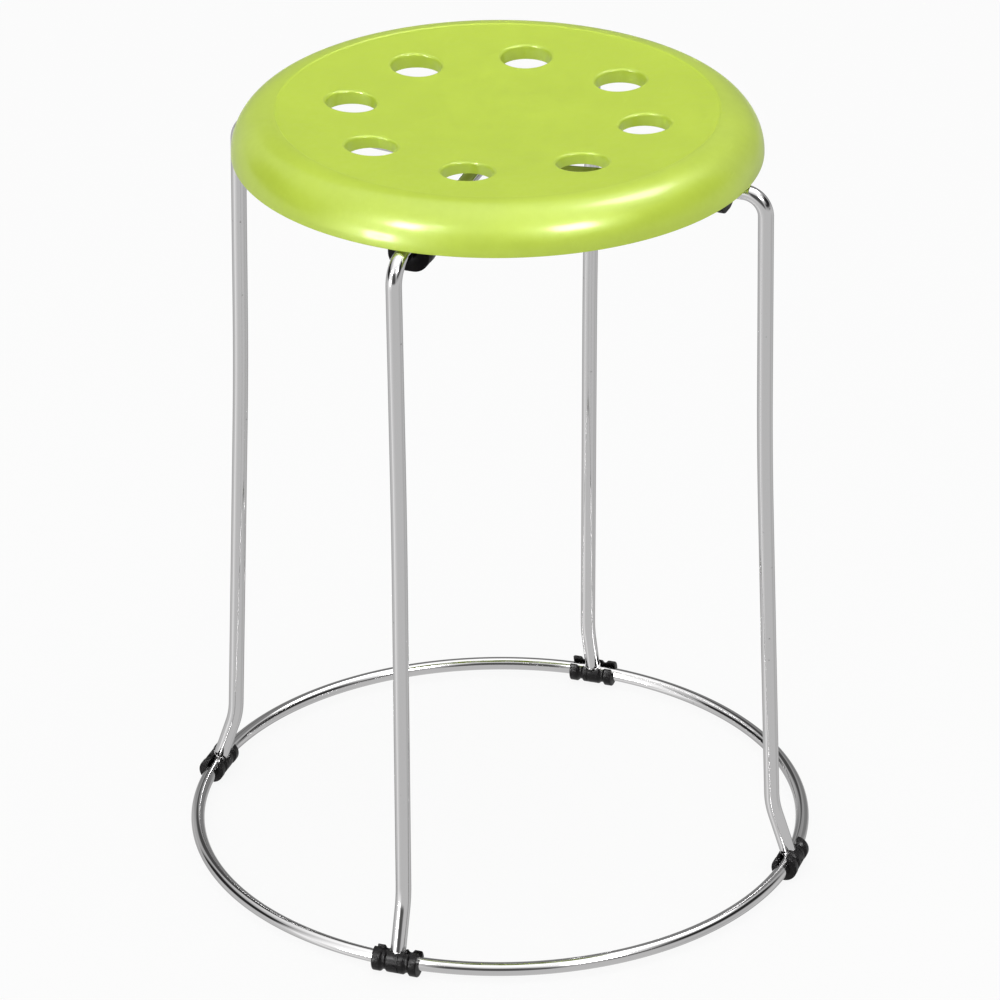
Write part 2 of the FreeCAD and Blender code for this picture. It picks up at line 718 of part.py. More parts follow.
def make_saddle(label, angle):
    body = make_body(label, angle)
    half = S["saddle_half_width"]
    corner = S["saddle_corner"]
    bottom = wire_height - S["saddle_depth"]
    corner_height = bottom + corner

    profile = make_sketch(body, "profile", "YZ_Plane", saddle_start)
    add_outline(profile, [
        ((-half, saddle_top),),
        ((-half, corner_height), (corner - half, corner_height), corner, True),
        ((corner - half, bottom),),
        ((half - corner, bottom), (half - corner, corner_height), corner, True),
        ((half, corner_height),),
        ((half, saddle_top),),
        ((wire_groove_edge, saddle_top), (ZERO, wire_height), wire_groove, False),
        ((-wire_groove_edge, saddle_top),),
    ])
    pad(body, "Pad", "block", profile, S["saddle_length"])

    screw_places = [(saddle_middle, S["screw_spacing"] / 2), (saddle_middle, -S["screw_spacing"] / 2)]
    shank_circles = make_sketch(body, "shank_circles", "XY_Plane", screw_seat)
    head_circles = make_sketch(body, "head_circles", "XY_Plane", screw_seat)
    for place in screw_places:
        add_circle(shank_circles, place, S["screw_radius"] + S["screw_fit"])
        add_circle(head_circles, place, S["screw_head_radius"] + S["seat_gap"])
    pad(body, "Pocket", "shank_holes", shank_circles, S["saddle_floor"] + S["overrun"], reverse=True)
    pad(body, "Pocket", "head_holes", head_circles, S["saddle_depth"])
    return body


# Screws

def make_screw(label, angle, side_sign):
    body = make_body(label, angle)
    side = S["screw_spacing"] / 2 * side_sign
    head_bottom = screw_seat - S["screw_head_height"]
    tip_top = screw_seat + S["screw_length"]
    dome = S["screw_head_height"] / 2

    profile = make_sketch(body, "profile", "XZ_Plane", -side)
    centre = saddle_middle
    places = [
        (centre, head_bottom),
        (centre + S["screw_head_radius"] - dome, head_bottom),
        (centre + S["screw_head_radius"], head_bottom + dome),
        (centre + S["screw_head_radius"], screw_seat),
        (centre + S["screw_radius"], screw_seat),
        (centre + S["screw_radius"], tip_top - S["screw_tip"]),
        (centre + S["screw_radius"] / 4, tip_top),
        (centre, tip_top),
    ]
    add_outline(profile, [(place,) for place in places])
    add_axis_line(profile, places[0], places[-1])
    revolve(body, "Revolution", "turned", profile, (profile, ["Axis0"]))

    reach = S["screw_recess_reach"]
    half_width = S["screw_recess_width"] / 2
    for name, along_x, along_y in (("first", reach, half_width), ("second", half_width, reach)):
        slot = make_sketch(body, f"{name}_slot", "XY_Plane", head_bottom)
        add_rectangle(
            slot, (saddle_middle - along_x, side - along_y), (saddle_middle + along_x, side + along_y))
        pad(body, "Pocket", f"{name}_recess", slot, S["screw_recess_depth"], reverse=True)
    return body


# The whole stool

SIDES = {"front": -90.0, "right": 0.0, "back": 90.0, "left": 180.0}

nodes = [make_seat()]
nodes.append(make_wire("front_back_leg_wire", as_size(SIDES["front"]) - S["twist"], 1))
nodes.append(make_wire("left_right_leg_wire", as_size(SIDES["right"]) - S["twist"], -1))
nodes.append(make_base_ring())
nodes.append(make_crossing_weld())
for side_name, side_angle in SIDES.items():
    foot_angle = as_size(side_angle)
    top_angle = foot_angle - S["twist"]
    nodes.append(make_foot_weld(f"foot_weld_{side_name}", top_angle))
    nodes.append(make_foot_clip(f"foot_clip_{side_name}", foot_angle))
    nodes.append(make_saddle(f"seat_saddle_{side_name}", top_angle))
    nodes.append(make_screw(f"seat_screw_{side_name}_a", top_angle, 1))
    nodes.append(make_screw(f"seat_screw_{side_name}_b", top_angle, -1))

doc.recompute()

for item in doc.Objects:
    if "Invalid" in item.State or "Error" in item.State:
        raise RuntimeError(f"{item.Name} failed: {item.State}")
for node in nodes:
    if node.Shape.isNull() or not node.Shape.isValid() or len(node.Shape.Solids) != 1:
        raise RuntimeError(f"{node.Label} is not one valid solid")

os.makedirs("parts", exist_ok=True)
for node in nodes:
    node.Shape.exportStep(f"parts/{node.Label}.step")
    print(node.Label, round(node.Shape.Volume, 1))
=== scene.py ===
import math
from collections import namedtuple

import bmesh
import bpy
from bpy.props import FloatProperty, FloatVectorProperty, IntProperty, PointerProperty
from mathutils import Matrix, Vector


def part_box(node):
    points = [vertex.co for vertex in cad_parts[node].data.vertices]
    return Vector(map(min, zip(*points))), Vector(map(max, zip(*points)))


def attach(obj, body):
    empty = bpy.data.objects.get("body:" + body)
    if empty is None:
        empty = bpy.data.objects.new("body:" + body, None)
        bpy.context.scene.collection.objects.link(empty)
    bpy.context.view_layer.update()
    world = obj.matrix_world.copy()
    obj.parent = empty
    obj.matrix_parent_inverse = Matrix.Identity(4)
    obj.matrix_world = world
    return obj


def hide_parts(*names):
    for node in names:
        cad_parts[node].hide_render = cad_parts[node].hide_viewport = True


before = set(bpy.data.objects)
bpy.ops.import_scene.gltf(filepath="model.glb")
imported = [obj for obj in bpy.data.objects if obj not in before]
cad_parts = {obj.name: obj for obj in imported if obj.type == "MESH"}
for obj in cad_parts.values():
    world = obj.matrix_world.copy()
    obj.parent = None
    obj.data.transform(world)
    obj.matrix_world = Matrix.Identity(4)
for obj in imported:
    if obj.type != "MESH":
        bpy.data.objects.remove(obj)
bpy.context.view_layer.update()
SEAT_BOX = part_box("seat")
RING_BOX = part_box("base_ring")

bl_info = {
    "name": "Wire Stool",
    "version": (1, 0, 0),
    "blender": (4, 5, 0),
    "location": "3D View > Sidebar > Wire Stool",
    "description": "Models and finishes a stackable stool with a plastic seat on bent wire legs",
    "category": "Object",
}

# Lengths are in metres and angles in degrees. The feet stand on the X and Y axes.

SIDES = {"front": -90.0, "right": 0.0, "back": 90.0, "left": 180.0}
BODY = "root"
ORIGIN = (0.0, 0.0, 0.0)
UPRIGHT = (0.0, 0.0, 1.0)
ALONG_X = Matrix.Rotation(math.pi / 2, 4, "Y")
WHITE = (1.0, 1.0, 1.0, 1.0)
SAME_PLACE = 1e-6
SMOOTH_BELOW = 34.0

RING_WIRE = (RING_BOX[1].z - RING_BOX[0].z) / 2
RING_RADIUS = RING_BOX[1].x - RING_WIRE
RING_HEIGHT = (RING_BOX[1].z + RING_BOX[0].z) / 2


# Sizes and colours that a user would change

def length(name, description, default):
    return FloatProperty(name=name, description=description, default=default, unit="LENGTH", precision=5)


def degrees(name, description, default):
    return FloatProperty(name=name, description=description, default=default)


def share(name, description, default):
    return FloatProperty(name=name, description=description, default=default, subtype="FACTOR")


def colour(name, description, default):
    return FloatVectorProperty(
        name=name, description=description, default=default, subtype="COLOR", size=3, min=0.0, max=1.0)


class StoolSeatSettings(bpy.types.PropertyGroup):
    radius: length("Radius", "Outer radius of the seat", SEAT_BOX[1].x)
    crest_height: length("Crest Height", "Height of the rim's highest line", SEAT_BOX[1].z)
    rim_radius: length("Rim Radius", "Radius of the rim's round outside", 0.0246)
    rim_skirt: length("Rim Skirt", "Straight stretch below the round of the rim", 0.0003)
    wall: length("Wall", "Thickness of the shell", 0.0035)
    dish_step: length("Dish Step", "Width of the slope from the crest down to the dish", 0.0010)
    dish_depth: length("Dish Depth", "Depth of the dish's edge below the crest", 0.0006)
    dish_fall: length("Dish Fall", "Fall of the dish from its edge to its middle", 0.0049)
    dish_flat: length("Dish Flat", "Radius of the dish's flat middle", 0.040)
    dish_bend: length("Dish Bend", "Radius of the bend from the flat middle to the slope", 0.300)
    crest_rounding: length("Crest Rounding", "Rounding of the crest", 0.0010)
    crease_rounding: length("Crease Rounding", "Rounding where the slope meets the dish", 0.0010)
    skirt_rounding: length("Skirt Rounding", "Rounding of the lower outer edge", 0.00025)
    hole_radius: length("Hole Radius", "Radius of each finger hole", 0.0145)
    hole_reach: length("Hole Reach", "Distance of the holes from the middle of the seat", 0.084)
    hole_angle: degrees("Hole Angle", "Direction of the first hole", 7.6)
    hole_lip: length("Hole Lip", "Rounding of each hole's upper edge", 0.0016)
    hole_count: IntProperty(name="Hole Count", description="Number of finger holes", default=8)
    collar_wall: length("Collar Wall", "Wall of the collar round each hole", 0.002)
    collar_height: length("Collar Height", "Height of the collars, from the dish's edge down", 0.0103)
    rib_thickness: length("Rib Thickness", "Thickness of the ribs under the seat", 0.002)
    rib_height: length("Rib Height", "Height of the ribs below the shell", 0.0058)
    ring_rib_radius: length("Ring Rib Radius", "Outer radius of the ring rib", 0.052)
    plastic: colour("Plastic", "Colour of the seat's plastic", (0.418, 0.550, 0.031))


class StoolWireSettings(bpy.types.PropertyGroup):
    leg_radius: length("Leg Wire Radius", "Radius of the leg wires", 0.0045)
    rim_height: length("Rim Height", "Height of the leg wires' middle under the rim", 0.4323)
    crossing_offset: length("Crossing Offset", "Rise or fall of each wire where the two cross", 0.0046)
    leg_reach: length("Leg Reach", "Distance of the legs' upper ends from the middle", 0.1588)
    corner_bend: length("Corner Bend", "Radius of the bend from arch to leg", 0.013)
    joggle_inner: length("Joggle Inner", "Where a wire's rise or fall ends", 0.040)
    joggle_outer: length("Joggle Outer", "Where a wire's rise or fall starts", 0.100)
    joggle_bend: length("Joggle Bend", "Radius of the gentle bends beside the crossing", 0.200)
    knee_out: length("Knee Out", "How far the leg spreads down to its knee", 0.0016)
    knee_height: length("Knee Height", "Height of the slight bend in the leg", 0.275)
    knee_bend: length("Knee Bend", "Radius of that bend", 3.0)
    ankle_in: length("Ankle In", "How far the ankle stands inside the ring", 0.012)
    ankle_height: length("Ankle Height", "Height of the bend above the foot", 0.043)
    ankle_bend: length("Ankle Bend", "Radius of the bend above the foot", 0.050)
    foot_bite: length("Foot Bite", "How far the leg's end reaches into the ring's weld", 0.001)
    twist: degrees("Twist", "Turn of the wires' tops against their feet", -1.8)
    chrome: colour("Chrome", "Colour of the chrome plate", (0.575, 0.570, 0.572))


class StoolHardwareSettings(bpy.types.PropertyGroup):
    clip_length: length("Clip Length", "Length of a foot clip along the ring", 0.027)
    flange_radius: length("Flange Radius", "Radius of a clip's end flanges", 0.0077)
    flange_width: length("Flange Width", "Width of each end flange", 0.0045)
    neck_radius: length("Neck Radius", "Radius of the necks beside the bulge", 0.0062)
    neck_width: length("Neck Width", "Width of each neck", 0.0014)
    slope: length("Slope", "Length of the slopes beside the necks", 0.0014)
    bulge_radius: length("Bulge Radius", "Radius of the clip's middle", 0.0074)
    clip_rounding: length("Clip Rounding", "Rounding of the clip's edges", 0.0006)
    clip_fit: length("Clip Fit", "Clearance between clip and ring", 0.00015)
    clip_slot: length("Clip Slot", "Width of the slot along the clip's top", 0.0064)
    leg_room: length("Leg Room", "Radius of the opening for leg and weld", 0.0055)
    line_place: length("Line Place", "Distance of the mould line from the clip's middle", 0.0023)
    line_width: length("Line Width", "Width of the mould line", 0.0007)
    line_depth: length("Line Depth", "Depth of the mould line", 0.0004)
    pip_radius: length("Pip Radius", "Radius of the pip on the clip's outside", 0.0009)
    pip_rise: length("Pip Rise", "Height of the pip above the bulge", 0.0004)
    saddle_start: length("Saddle Start", "Distance of the saddles' inner ends from the middle", 0.1245)
    saddle_length: length("Saddle Length", "Length of a saddle along its wire", 0.0125)
    saddle_half_width: length("Saddle Half Width", "Half the width of a saddle", 0.012)
    saddle_depth: length("Saddle Depth", "Depth of a saddle below the wire's middle", 0.0127)
    saddle_corner: length("Saddle Corner", "Radius of a saddle's lower corners", 0.0095)
    saddle_floor: length("Saddle Floor", "Depth of the screw heads' seats below the wire", 0.006)
    saddle_rounding: length("Saddle Rounding", "Rounding of a saddle's edges", 0.0005)
    screw_spacing: length("Screw Spacing", "Distance between a saddle's two screws", 0.0152)
    screw_radius: length("Screw Radius", "Radius of a screw's shank hole", 0.0019)
    head_room: length("Head Room", "Radius of the wells for the screw heads", 0.0032)
    boss_radius: length("Boss Radius", "Radius of the bosses that take the screws", 0.0036)
    web_thickness: length("Web Thickness", "Thickness of the web between two bosses", 0.003)
    seat_gap: length("Seat Gap", "Clearance between pieces that seat on each other", 0.0003)
    black: colour("Black", "Colour of the clips and saddles", (0.0045, 0.0040, 0.0044))


class StoolStudioSettings(bpy.types.PropertyGroup):
    camera_azimuth: degrees("Camera Azimuth", "Direction of the camera, 0 looking along +Y", 19.0)
    camera_elevation: degrees("Camera Elevation", "Height of the camera above the horizon", 27.03)
    camera_roll: degrees("Camera Roll", "Tilt of the picture", -0.2)
    camera_distance: length("Camera Distance", "Distance of the camera from what it looks at", 3.1166)
    camera_focus: FloatVectorProperty(
        name="Camera Target", description="What the camera looks at",
        default=(0.0006, 0.0002, 0.2148), subtype="TRANSLATION", size=3)
    camera_lens: FloatProperty(
        name="Lens", description="Focal length in millimetres on a sensor 36 mm wide", default=193.08)
    floor_size: length("Floor Size", "Width of the floor", 14.0)
    floor_colour: colour("Floor Colour", "Colour of the floor", (0.62, 0.62, 0.62))
    floor_white: share("Floor White", "How much of the floor shows as plain white", 0.90)
    room_light: FloatProperty(name="Room Light", description="Strength of the even light", default=0.90)


# Small tools for meshes

def arc(centre, radius, start, end, steps):
    """Points along an arc in a plane, from one direction to another in degrees."""
    turns = [math.radians(start + (end - start) * step / steps) for step in range(steps + 1)]
    return [(centre[0] + radius * math.cos(t), centre[1] + radius * math.sin(t)) for t in turns]


def rounded_corner(before, corner, after, radius, steps):
    """Points that round the corner between two straight lines of an outline."""
    corner = Vector(corner)
    back = (Vector(before) - corner).normalized()
    ahead = (Vector(after) - corner).normalized()
    half = back.angle(ahead) / 2
    centre = corner + (back + ahead).normalized() * (radius / math.sin(half))
    ends = [corner + side * (radius / math.tan(half)) - centre for side in (back, ahead)]
    start = math.degrees(math.atan2(ends[0].y, ends[0].x))
    sweep = math.degrees(-ends[0].angle_signed(ends[1]))
    return arc(centre, radius, start, start + sweep, steps)


def upright_turn(angle):
    return Matrix.Rotation(math.radians(angle), 4, "Z")


def only(kind, geometry):
    return [item for item in geometry if isinstance(item, kind)]


def spin(bm, geometry, angle, steps, centre=ORIGIN, axis=UPRIGHT, merge=False):
    """Sweeps geometry round an axis, and returns what stands at the end of the sweep."""
    return bmesh.ops.spin(
        bm, geom=geometry, cent=centre, axis=axis, dvec=ORIGIN, angle=angle, steps=steps, use_merge=merge,
        use_normal_flip=False, use_duplicate=False)["geom_last"]


def spun(bm, outline, steps, closed=False):
    """Spins an outline, given as (reach, height) pairs, once round the upright axis."""
    verts = [bm.verts.new((reach, 0.0, height)) for reach, height in outline]
    pairs = list(zip(verts, verts[1:]))
    if closed:
        pairs.append((verts[-1], verts[0]))
    edges = [bm.edges.new(pair) for pair in pairs]
    spin(bm, verts + edges, 2 * math.pi, steps, merge=True)


def add_rod(bm, radius, depth, place, sides, end_radius=None):
    """A closed rod along the Z axis of a place, from its own middle."""
    bmesh.ops.create_cone(
        bm, cap_ends=True, cap_tris=False, segments=sides, radius1=radius,
        radius2=radius if end_radius is None else end_radius, depth=depth, matrix=place)


def add_upright(bm, radius, low, high, reach, aside, angle=0.0):
    """An upright rod at a reach and sideways offset from the middle."""
    middle = Matrix.Translation((reach, aside, (low + high) / 2))
    add_rod(bm, radius, high - low, upright_turn(angle) @ middle, UPRIGHT_SIDES)


def add_block(bm, low, high, angle):
    """A block between two corners, turned about the upright axis."""
    low = Vector(low)
    high = Vector(high)
    size = Matrix.Diagonal(high - low).to_4x4()
    place = upright_turn(angle) @ Matrix.Translation((low + high) / 2)
    return bmesh.ops.create_cube(bm, size=1.0, matrix=place @ size)["verts"]


def cut_at(bm, normal, clear=False):
    """Cuts a mesh by a plane through the origin, and may clear the side the normal points to."""
    bmesh.ops.bisect_plane(
        bm, geom=bm.verts[:] + bm.edges[:] + bm.faces[:], dist=SAME_PLACE, plane_co=ORIGIN,
        plane_no=normal, use_snap_center=False, clear_outer=clear, clear_inner=False)


def close_up(bm):
    bmesh.ops.remove_doubles(bm, verts=bm.verts, dist=SAME_PLACE)
    bmesh.ops.recalc_face_normals(bm, faces=bm.faces)


def smooth(mesh):
    mesh.shade_smooth()
    mesh.set_sharp_from_angle(angle=math.radians(SMOOTH_BELOW))
    return mesh


def mesh_from(bm, name):
    close_up(bm)
    mesh = bpy.data.meshes.new(name)
    bm.to_mesh(mesh)
    bm.free()
    return smooth(mesh)


def combine(mesh, other, operation):
    """Joins the other closed mesh to this one, or cuts it away, and returns the new mesh."""
    holder = bpy.data.objects.new(mesh.name, mesh)
    tool = bpy.data.objects.new(other.name, other)
    for thing in (holder, tool):
        bpy.context.scene.collection.objects.link(thing)
    modifier = holder.modifiers.new("combine", "BOOLEAN")
    modifier.object = tool
    modifier.operation = operation
    modifier.solver = "MANIFOLD"
    bpy.context.view_layer.update()
    evaluated = holder.evaluated_get(bpy.context.evaluated_depsgraph_get())
    made = bpy.data.meshes.new_from_object(evaluated)
    for thing in (holder, tool):
        bpy.data.objects.remove(thing)
    made.materials.clear()
    return smooth(made)


def cut_away(mesh, tool, name):
    return combine(mesh, mesh_from(tool, name), "DIFFERENCE")


def turned(mesh, angle):
    """A copy of a mesh, turned about the upright axis."""
    copy = mesh.copy()
    copy.transform(upright_turn(angle))
    return copy


def show(name, mesh, material, slot, *replaced):
    """Adds a finished piece that stands for CAD nodes."""
    piece = bpy.data.objects.new(name, mesh)
    bpy.context.scene.collection.objects.link(piece)
    mesh.materials.clear()
    mesh.materials.append(material)
    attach(piece, BODY)
    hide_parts(*replaced)


# Small tools for materials

def feed(tree, socket, value):
    """Links a socket to another one, or gives it a value of its own."""
    if isinstance(value, bpy.types.NodeSocket):
        tree.links.new(value, socket)
    else:
        socket.default_value = value


def add_node(tree, kind, values=(), **settings):
    """Adds a shader node, sets its options, and sets or links its inputs."""
    node = tree.nodes.new(kind)
    for key, value in settings.items():
        setattr(node, key, value)
    for key, value in dict(values).items():
        feed(tree, node.inputs[key], value)
    return node


def maths(tree, operation, first, second=0.0):
    return add_node(tree, "ShaderNodeMath", {0: first, 1: second}, operation=operation).outputs[0]


def wrapped(tree, value, half):
    """The value, wrapped round so that it stays within half a turn to each side of 0."""
    return add_node(tree, "ShaderNodeMath", {0: value, 1: half, 2: -half}, operation="WRAP").outputs[0]


def flat_length(tree, along, across):
    flat = add_node(tree, "ShaderNodeCombineXYZ", {0: along, 1: across}).outputs[0]
    return add_node(tree, "ShaderNodeVectorMath", {0: flat}, operation="LENGTH").outputs["Value"]


def between(tree, value, low, high):
    """0 below low, 1 above high, and a smooth step in between."""
    node = add_node(
        tree, "ShaderNodeMapRange", {"Value": value, "From Min": low, "From Max": high},
        interpolation_type="SMOOTHSTEP")
    return node.outputs["Result"]


def mix_value(tree, factor, first, second):
    """The first value where the factor is 0, and the second where it is 1."""
    node = add_node(tree, "ShaderNodeMapRange", {"Value": factor, "To Min": first, "To Max": second})
    return node.outputs["Result"]


def mix_colour(tree, factor, first, second):
    node = add_node(tree, "ShaderNodeMix", {"Factor": factor}, data_type="RGBA")
    sockets = [s for s in node.inputs if s.type == "RGBA"]
    for socket, value in zip(sockets, (first, second)):
        feed(tree, socket, value if isinstance(value, bpy.types.NodeSocket) else (*value, 1.0))
    return [s for s in node.outputs if s.type == "RGBA"][0]


FLOAT = "NodeSocketFloat"
VECTOR = "NodeSocketVector"


def noise(tree, place, scale, detail=2.0, **values):
    values = {"Vector": place, "Scale": scale, "Detail": detail, **values}
    return add_node(tree, "ShaderNodeTexNoise", values).outputs["Fac"]


def new_group(name, inputs, outputs):
    """An empty shader node group, with the sockets Place and those given with their defaults."""
    group = bpy.data.node_groups.new(name, "ShaderNodeTree")
    group.interface.new_socket("Place", in_out="INPUT", socket_type=VECTOR)
    for socket, default in inputs.items():
        kind = FLOAT if isinstance(default, float) else VECTOR
        group.interface.new_socket(socket, in_out="INPUT", socket_type=kind).default_value = default
    for socket in outputs:
        group.interface.new_socket(socket, in_out="OUTPUT", socket_type=FLOAT)
    return group, group.nodes.new("NodeGroupInput"), group.nodes.new("NodeGroupOutput")


def grain_group(name):
    """Fine moulded grain: a height and a mask, from noise at two scales."""
    group, given, out = new_group(name, {"Scale": 1500.0}, ("Height", "Mask"))
    fine = noise(group, given.outputs["Place"], given.outputs["Scale"], 3.0)
    coarse_scale = maths(group, "MULTIPLY", given.outputs["Scale"], 0.19)
    coarse = noise(group, given.outputs["Place"], coarse_scale)
    height = maths(group, "ADD", fine, maths(group, "MULTIPLY", coarse, 0.6))
    group.links.new(height, out.inputs["Height"])
    group.links.new(between(group, coarse, 0.35, 0.65), out.inputs["Mask"])
    return group


def scratch_group(name):
    """Hairline scratches and small pits, as masks that are 1 on the mark."""
    group, given, out = new_group(
        name, {"Stretch": (900.0, 900.0, 25.0), "Pits": 260.0}, ("Scratches", "Pits"))
    stretched = add_node(group, "ShaderNodeVectorMath", {
        0: given.outputs["Place"], 1: given.outputs["Stretch"]}, operation="MULTIPLY")
    lines = noise(group, stretched.outputs[0], 1.0, 4.0, Roughness=0.6)
    patches = noise(group, given.outputs["Place"], 38.0)
    scratches = maths(
        group, "MULTIPLY", between(group, lines, 0.56, 0.74), between(group, patches, 0.42, 0.62))
    cells = add_node(group, "ShaderNodeTexVoronoi", {
        "Vector": given.outputs["Place"], "Scale": given.outputs["Pits"], "Randomness": 1.0})
    chosen = add_node(group, "ShaderNodeSeparateColor", {"Color": cells.outputs["Color"]})
    pits = maths(
        group, "MULTIPLY", between(group, cells.outputs["Distance"], 0.16, 0.06),
        between(group, chosen.outputs[0], 0.90, 0.93))
    group.links.new(scratches, out.inputs["Scratches"])
    group.links.new(pits, out.inputs["Pits"])
    return group


def wave_group(name):
    """The slow unevenness of a moulded skin, as a height and a mask."""
    group, given, out = new_group(name, {"Scale": 22.0}, ("Height", "Mask"))
    slow = noise(group, given.outputs["Place"], given.outputs["Scale"], 1.5, Distortion=0.4)
    group.links.new(slow, out.inputs["Height"])
    group.links.new(between(group, slow, 0.3, 0.7), out.inputs["Mask"])
    return group


GROUPS = {"MouldedGrain": grain_group, "HandlingMarks": scratch_group, "MouldedWaves": wave_group}


def use_group(tree, name, place, **values):
    """Places a shared node group, which is made on its first use, and returns its outputs."""
    group = bpy.data.node_groups.get(name) or GROUPS[name](name)
    return add_node(tree, "ShaderNodeGroup", {"Place": place, **values}, node_tree=group).outputs


def new_material(name):
    material = bpy.data.materials.new(name)
    material.use_nodes = True
    tree = material.node_tree
    shader = tree.nodes["Principled BSDF"]
    place = tree.nodes.new("ShaderNodeTexCoord").outputs["Object"]
    return material, tree, shader, place


def raise_surface(tree, shader, height, distance, strength, under=None):
    """Gives the shader a bump from a height, over an earlier bump if there is one."""
    values = {"Height": height, "Distance": distance, "Strength": strength}
    if under is not None:
        values["Normal"] = under
    bump = add_node(tree, "ShaderNodeBump", values)
    tree.links.new(bump.outputs["Normal"], shader.inputs["Normal"])
    return bump.outputs["Normal"]


# Materials

# Where the grain ends and the gloss starts on the slope, as shares of its width.
GRAIN_END = 0.4
GLOSS_START = 1.3


def polished_parts(tree, settings, place):
    """1 on the rim and on the lips of the holes, and 0 on the grained dish."""
    axes = add_node(tree, "ShaderNodeSeparateXYZ", {"Vector": place})
    reach = flat_length(tree, axes.outputs[0], axes.outputs[1])
    edge = dish_edge(settings)[0]
    step = settings.dish_step
    rim = between(tree, reach, edge + step * GRAIN_END, edge + step * GLOSS_START)
    around = maths(tree, "ARCTAN2", axes.outputs[1], axes.outputs[0])
    around = maths(tree, "SUBTRACT", around, math.radians(settings.hole_angle))
    around = wrapped(tree, around, math.radians(360.0 / settings.hole_count) / 2)
    along = maths(tree, "MULTIPLY", reach, maths(tree, "COSINE", around))
    along = maths(tree, "SUBTRACT", along, settings.hole_reach)
    across = maths(tree, "MULTIPLY", reach, maths(tree, "SINE", around))
    lip_edge = settings.hole_radius + settings.hole_lip
    lips = between(tree, flat_length(tree, along, across), lip_edge + GUARD, lip_edge - GUARD)
    return maths(tree, "MAXIMUM", rim, lips)


def seat_plastic(settings):
    """Lime plastic: fine matte grain on the dish, and gloss with slow waves on rim and lips."""
    material, tree, shader, place = new_material("LimePlastic")
    polished = polished_parts(tree, settings, place)
    grain = use_group(tree, "MouldedGrain", place, Scale=950.0)
    waves = use_group(tree, "MouldedWaves", place, Scale=24.0)
    marks = use_group(tree, "HandlingMarks", place, Stretch=(420.0, 60.0, 420.0), Pits=120.0)
    smears = use_group(tree, "HandlingMarks", place, Stretch=(160.0, 160.0, 14.0), Pits=60.0)

    deep = [channel * 0.95 for channel in settings.plastic]
    pale = [min(channel * 1.05 + 0.014, 1.0) for channel in settings.plastic]
    base = mix_colour(tree, waves["Mask"], deep, settings.plastic)
    base = mix_colour(tree, maths(tree, "MULTIPLY", grain["Mask"], 0.20), base, pale)
    base = mix_colour(tree, maths(tree, "MULTIPLY", marks["Scratches"], 0.35), base, pale)
    tree.links.new(base, shader.inputs["Base Color"])

    matte = mix_value(tree, grain["Mask"], 0.42, 0.50)
    gloss = mix_value(tree, waves["Mask"], 0.37, 0.44)
    gloss = maths(tree, "ADD", gloss, maths(tree, "MULTIPLY", smears["Scratches"], 0.12))
    tree.links.new(mix_value(tree, polished, matte, gloss), shader.inputs["Roughness"])
    worn = maths(tree, "MULTIPLY", smears["Scratches"], 0.22)
    coat = maths(tree, "MULTIPLY", polished, maths(tree, "SUBTRACT", 0.40, worn))
    tree.links.new(coat, shader.inputs["Coat Weight"])
    shader.inputs["Coat Roughness"].default_value = 0.11
    shader.inputs["IOR"].default_value = 1.49
    shader.inputs["Specular IOR Level"].default_value = 0.72

    slow = raise_surface(tree, shader, waves["Height"], 0.0006, 0.5)
    grained = maths(tree, "SUBTRACT", 1.0, polished)
    grain_height = maths(tree, "MULTIPLY", grain["Height"], grained)
    raise_surface(tree, shader, grain_height, 0.00006, 0.6, under=slow)
    return material


def chrome_plate(settings, name="ChromePlate", stretch=(900.0, 900.0, 25.0)):
    """Bright chrome with hairlines and a few small pits."""
    material, tree, shader, place = new_material(name)
    marks = use_group(tree, "HandlingMarks", place, Stretch=stretch, Pits=210.0)
    waves = use_group(tree, "MouldedWaves", place, Scale=60.0)
    dull = [channel * 0.55 for channel in settings.chrome]
    base = mix_colour(tree, maths(tree, "MULTIPLY", marks["Pits"], 0.8), settings.chrome, dull)
    tree.links.new(base, shader.inputs["Base Color"])
    roughness = mix_value(tree, waves["Mask"], 0.05, 0.08)
    roughness = maths(tree, "ADD", roughness, maths(tree, "MULTIPLY", marks["Scratches"], 0.10))
    roughness = maths(tree, "ADD", roughness, maths(tree, "MULTIPLY", marks["Pits"], 0.30))
    tree.links.new(roughness, shader.inputs["Roughness"])
    shader.inputs["Metallic"].default_value = 1.0
    slow = raise_surface(tree, shader, waves["Height"], 0.00002, 0.4)
    raise_surface(tree, shader, marks["Scratches"], 0.000002, 0.3, under=slow)
    return material


def grained_metal(name, scale, dull, bright, roughness, relief, strength):
    """Bare metal with an even grain in its colour, its gloss and its surface."""
    material, tree, shader, place = new_material(name)
    grain = use_group(tree, "MouldedGrain", place, Scale=scale)
    tree.links.new(mix_colour(tree, grain["Mask"], dull, bright), shader.inputs["Base Color"])
    tree.links.new(mix_value(tree, grain["Mask"], *roughness), shader.inputs["Roughness"])
    shader.inputs["Metallic"].default_value = 1.0
    raise_surface(tree, shader, grain["Height"], relief, strength)
    return material


def weld_metal(settings):
    """Chrome over a weld: duller, with the ripple of the bead."""
    dull = [channel * 0.62 for channel in settings.chrome]
    return grained_metal("WeldMetal", 2400.0, dull, settings.chrome, (0.18, 0.34), 0.00025, 0.6)


def zinc_steel():
    """Zinc plated screw steel with faint turning marks."""
    dull = (0.46, 0.46, 0.47)
    bright = (0.60, 0.60, 0.60)
    return grained_metal("ZincSteel", 3000.0, dull, bright, (0.26, 0.38), 0.00003, 0.4)


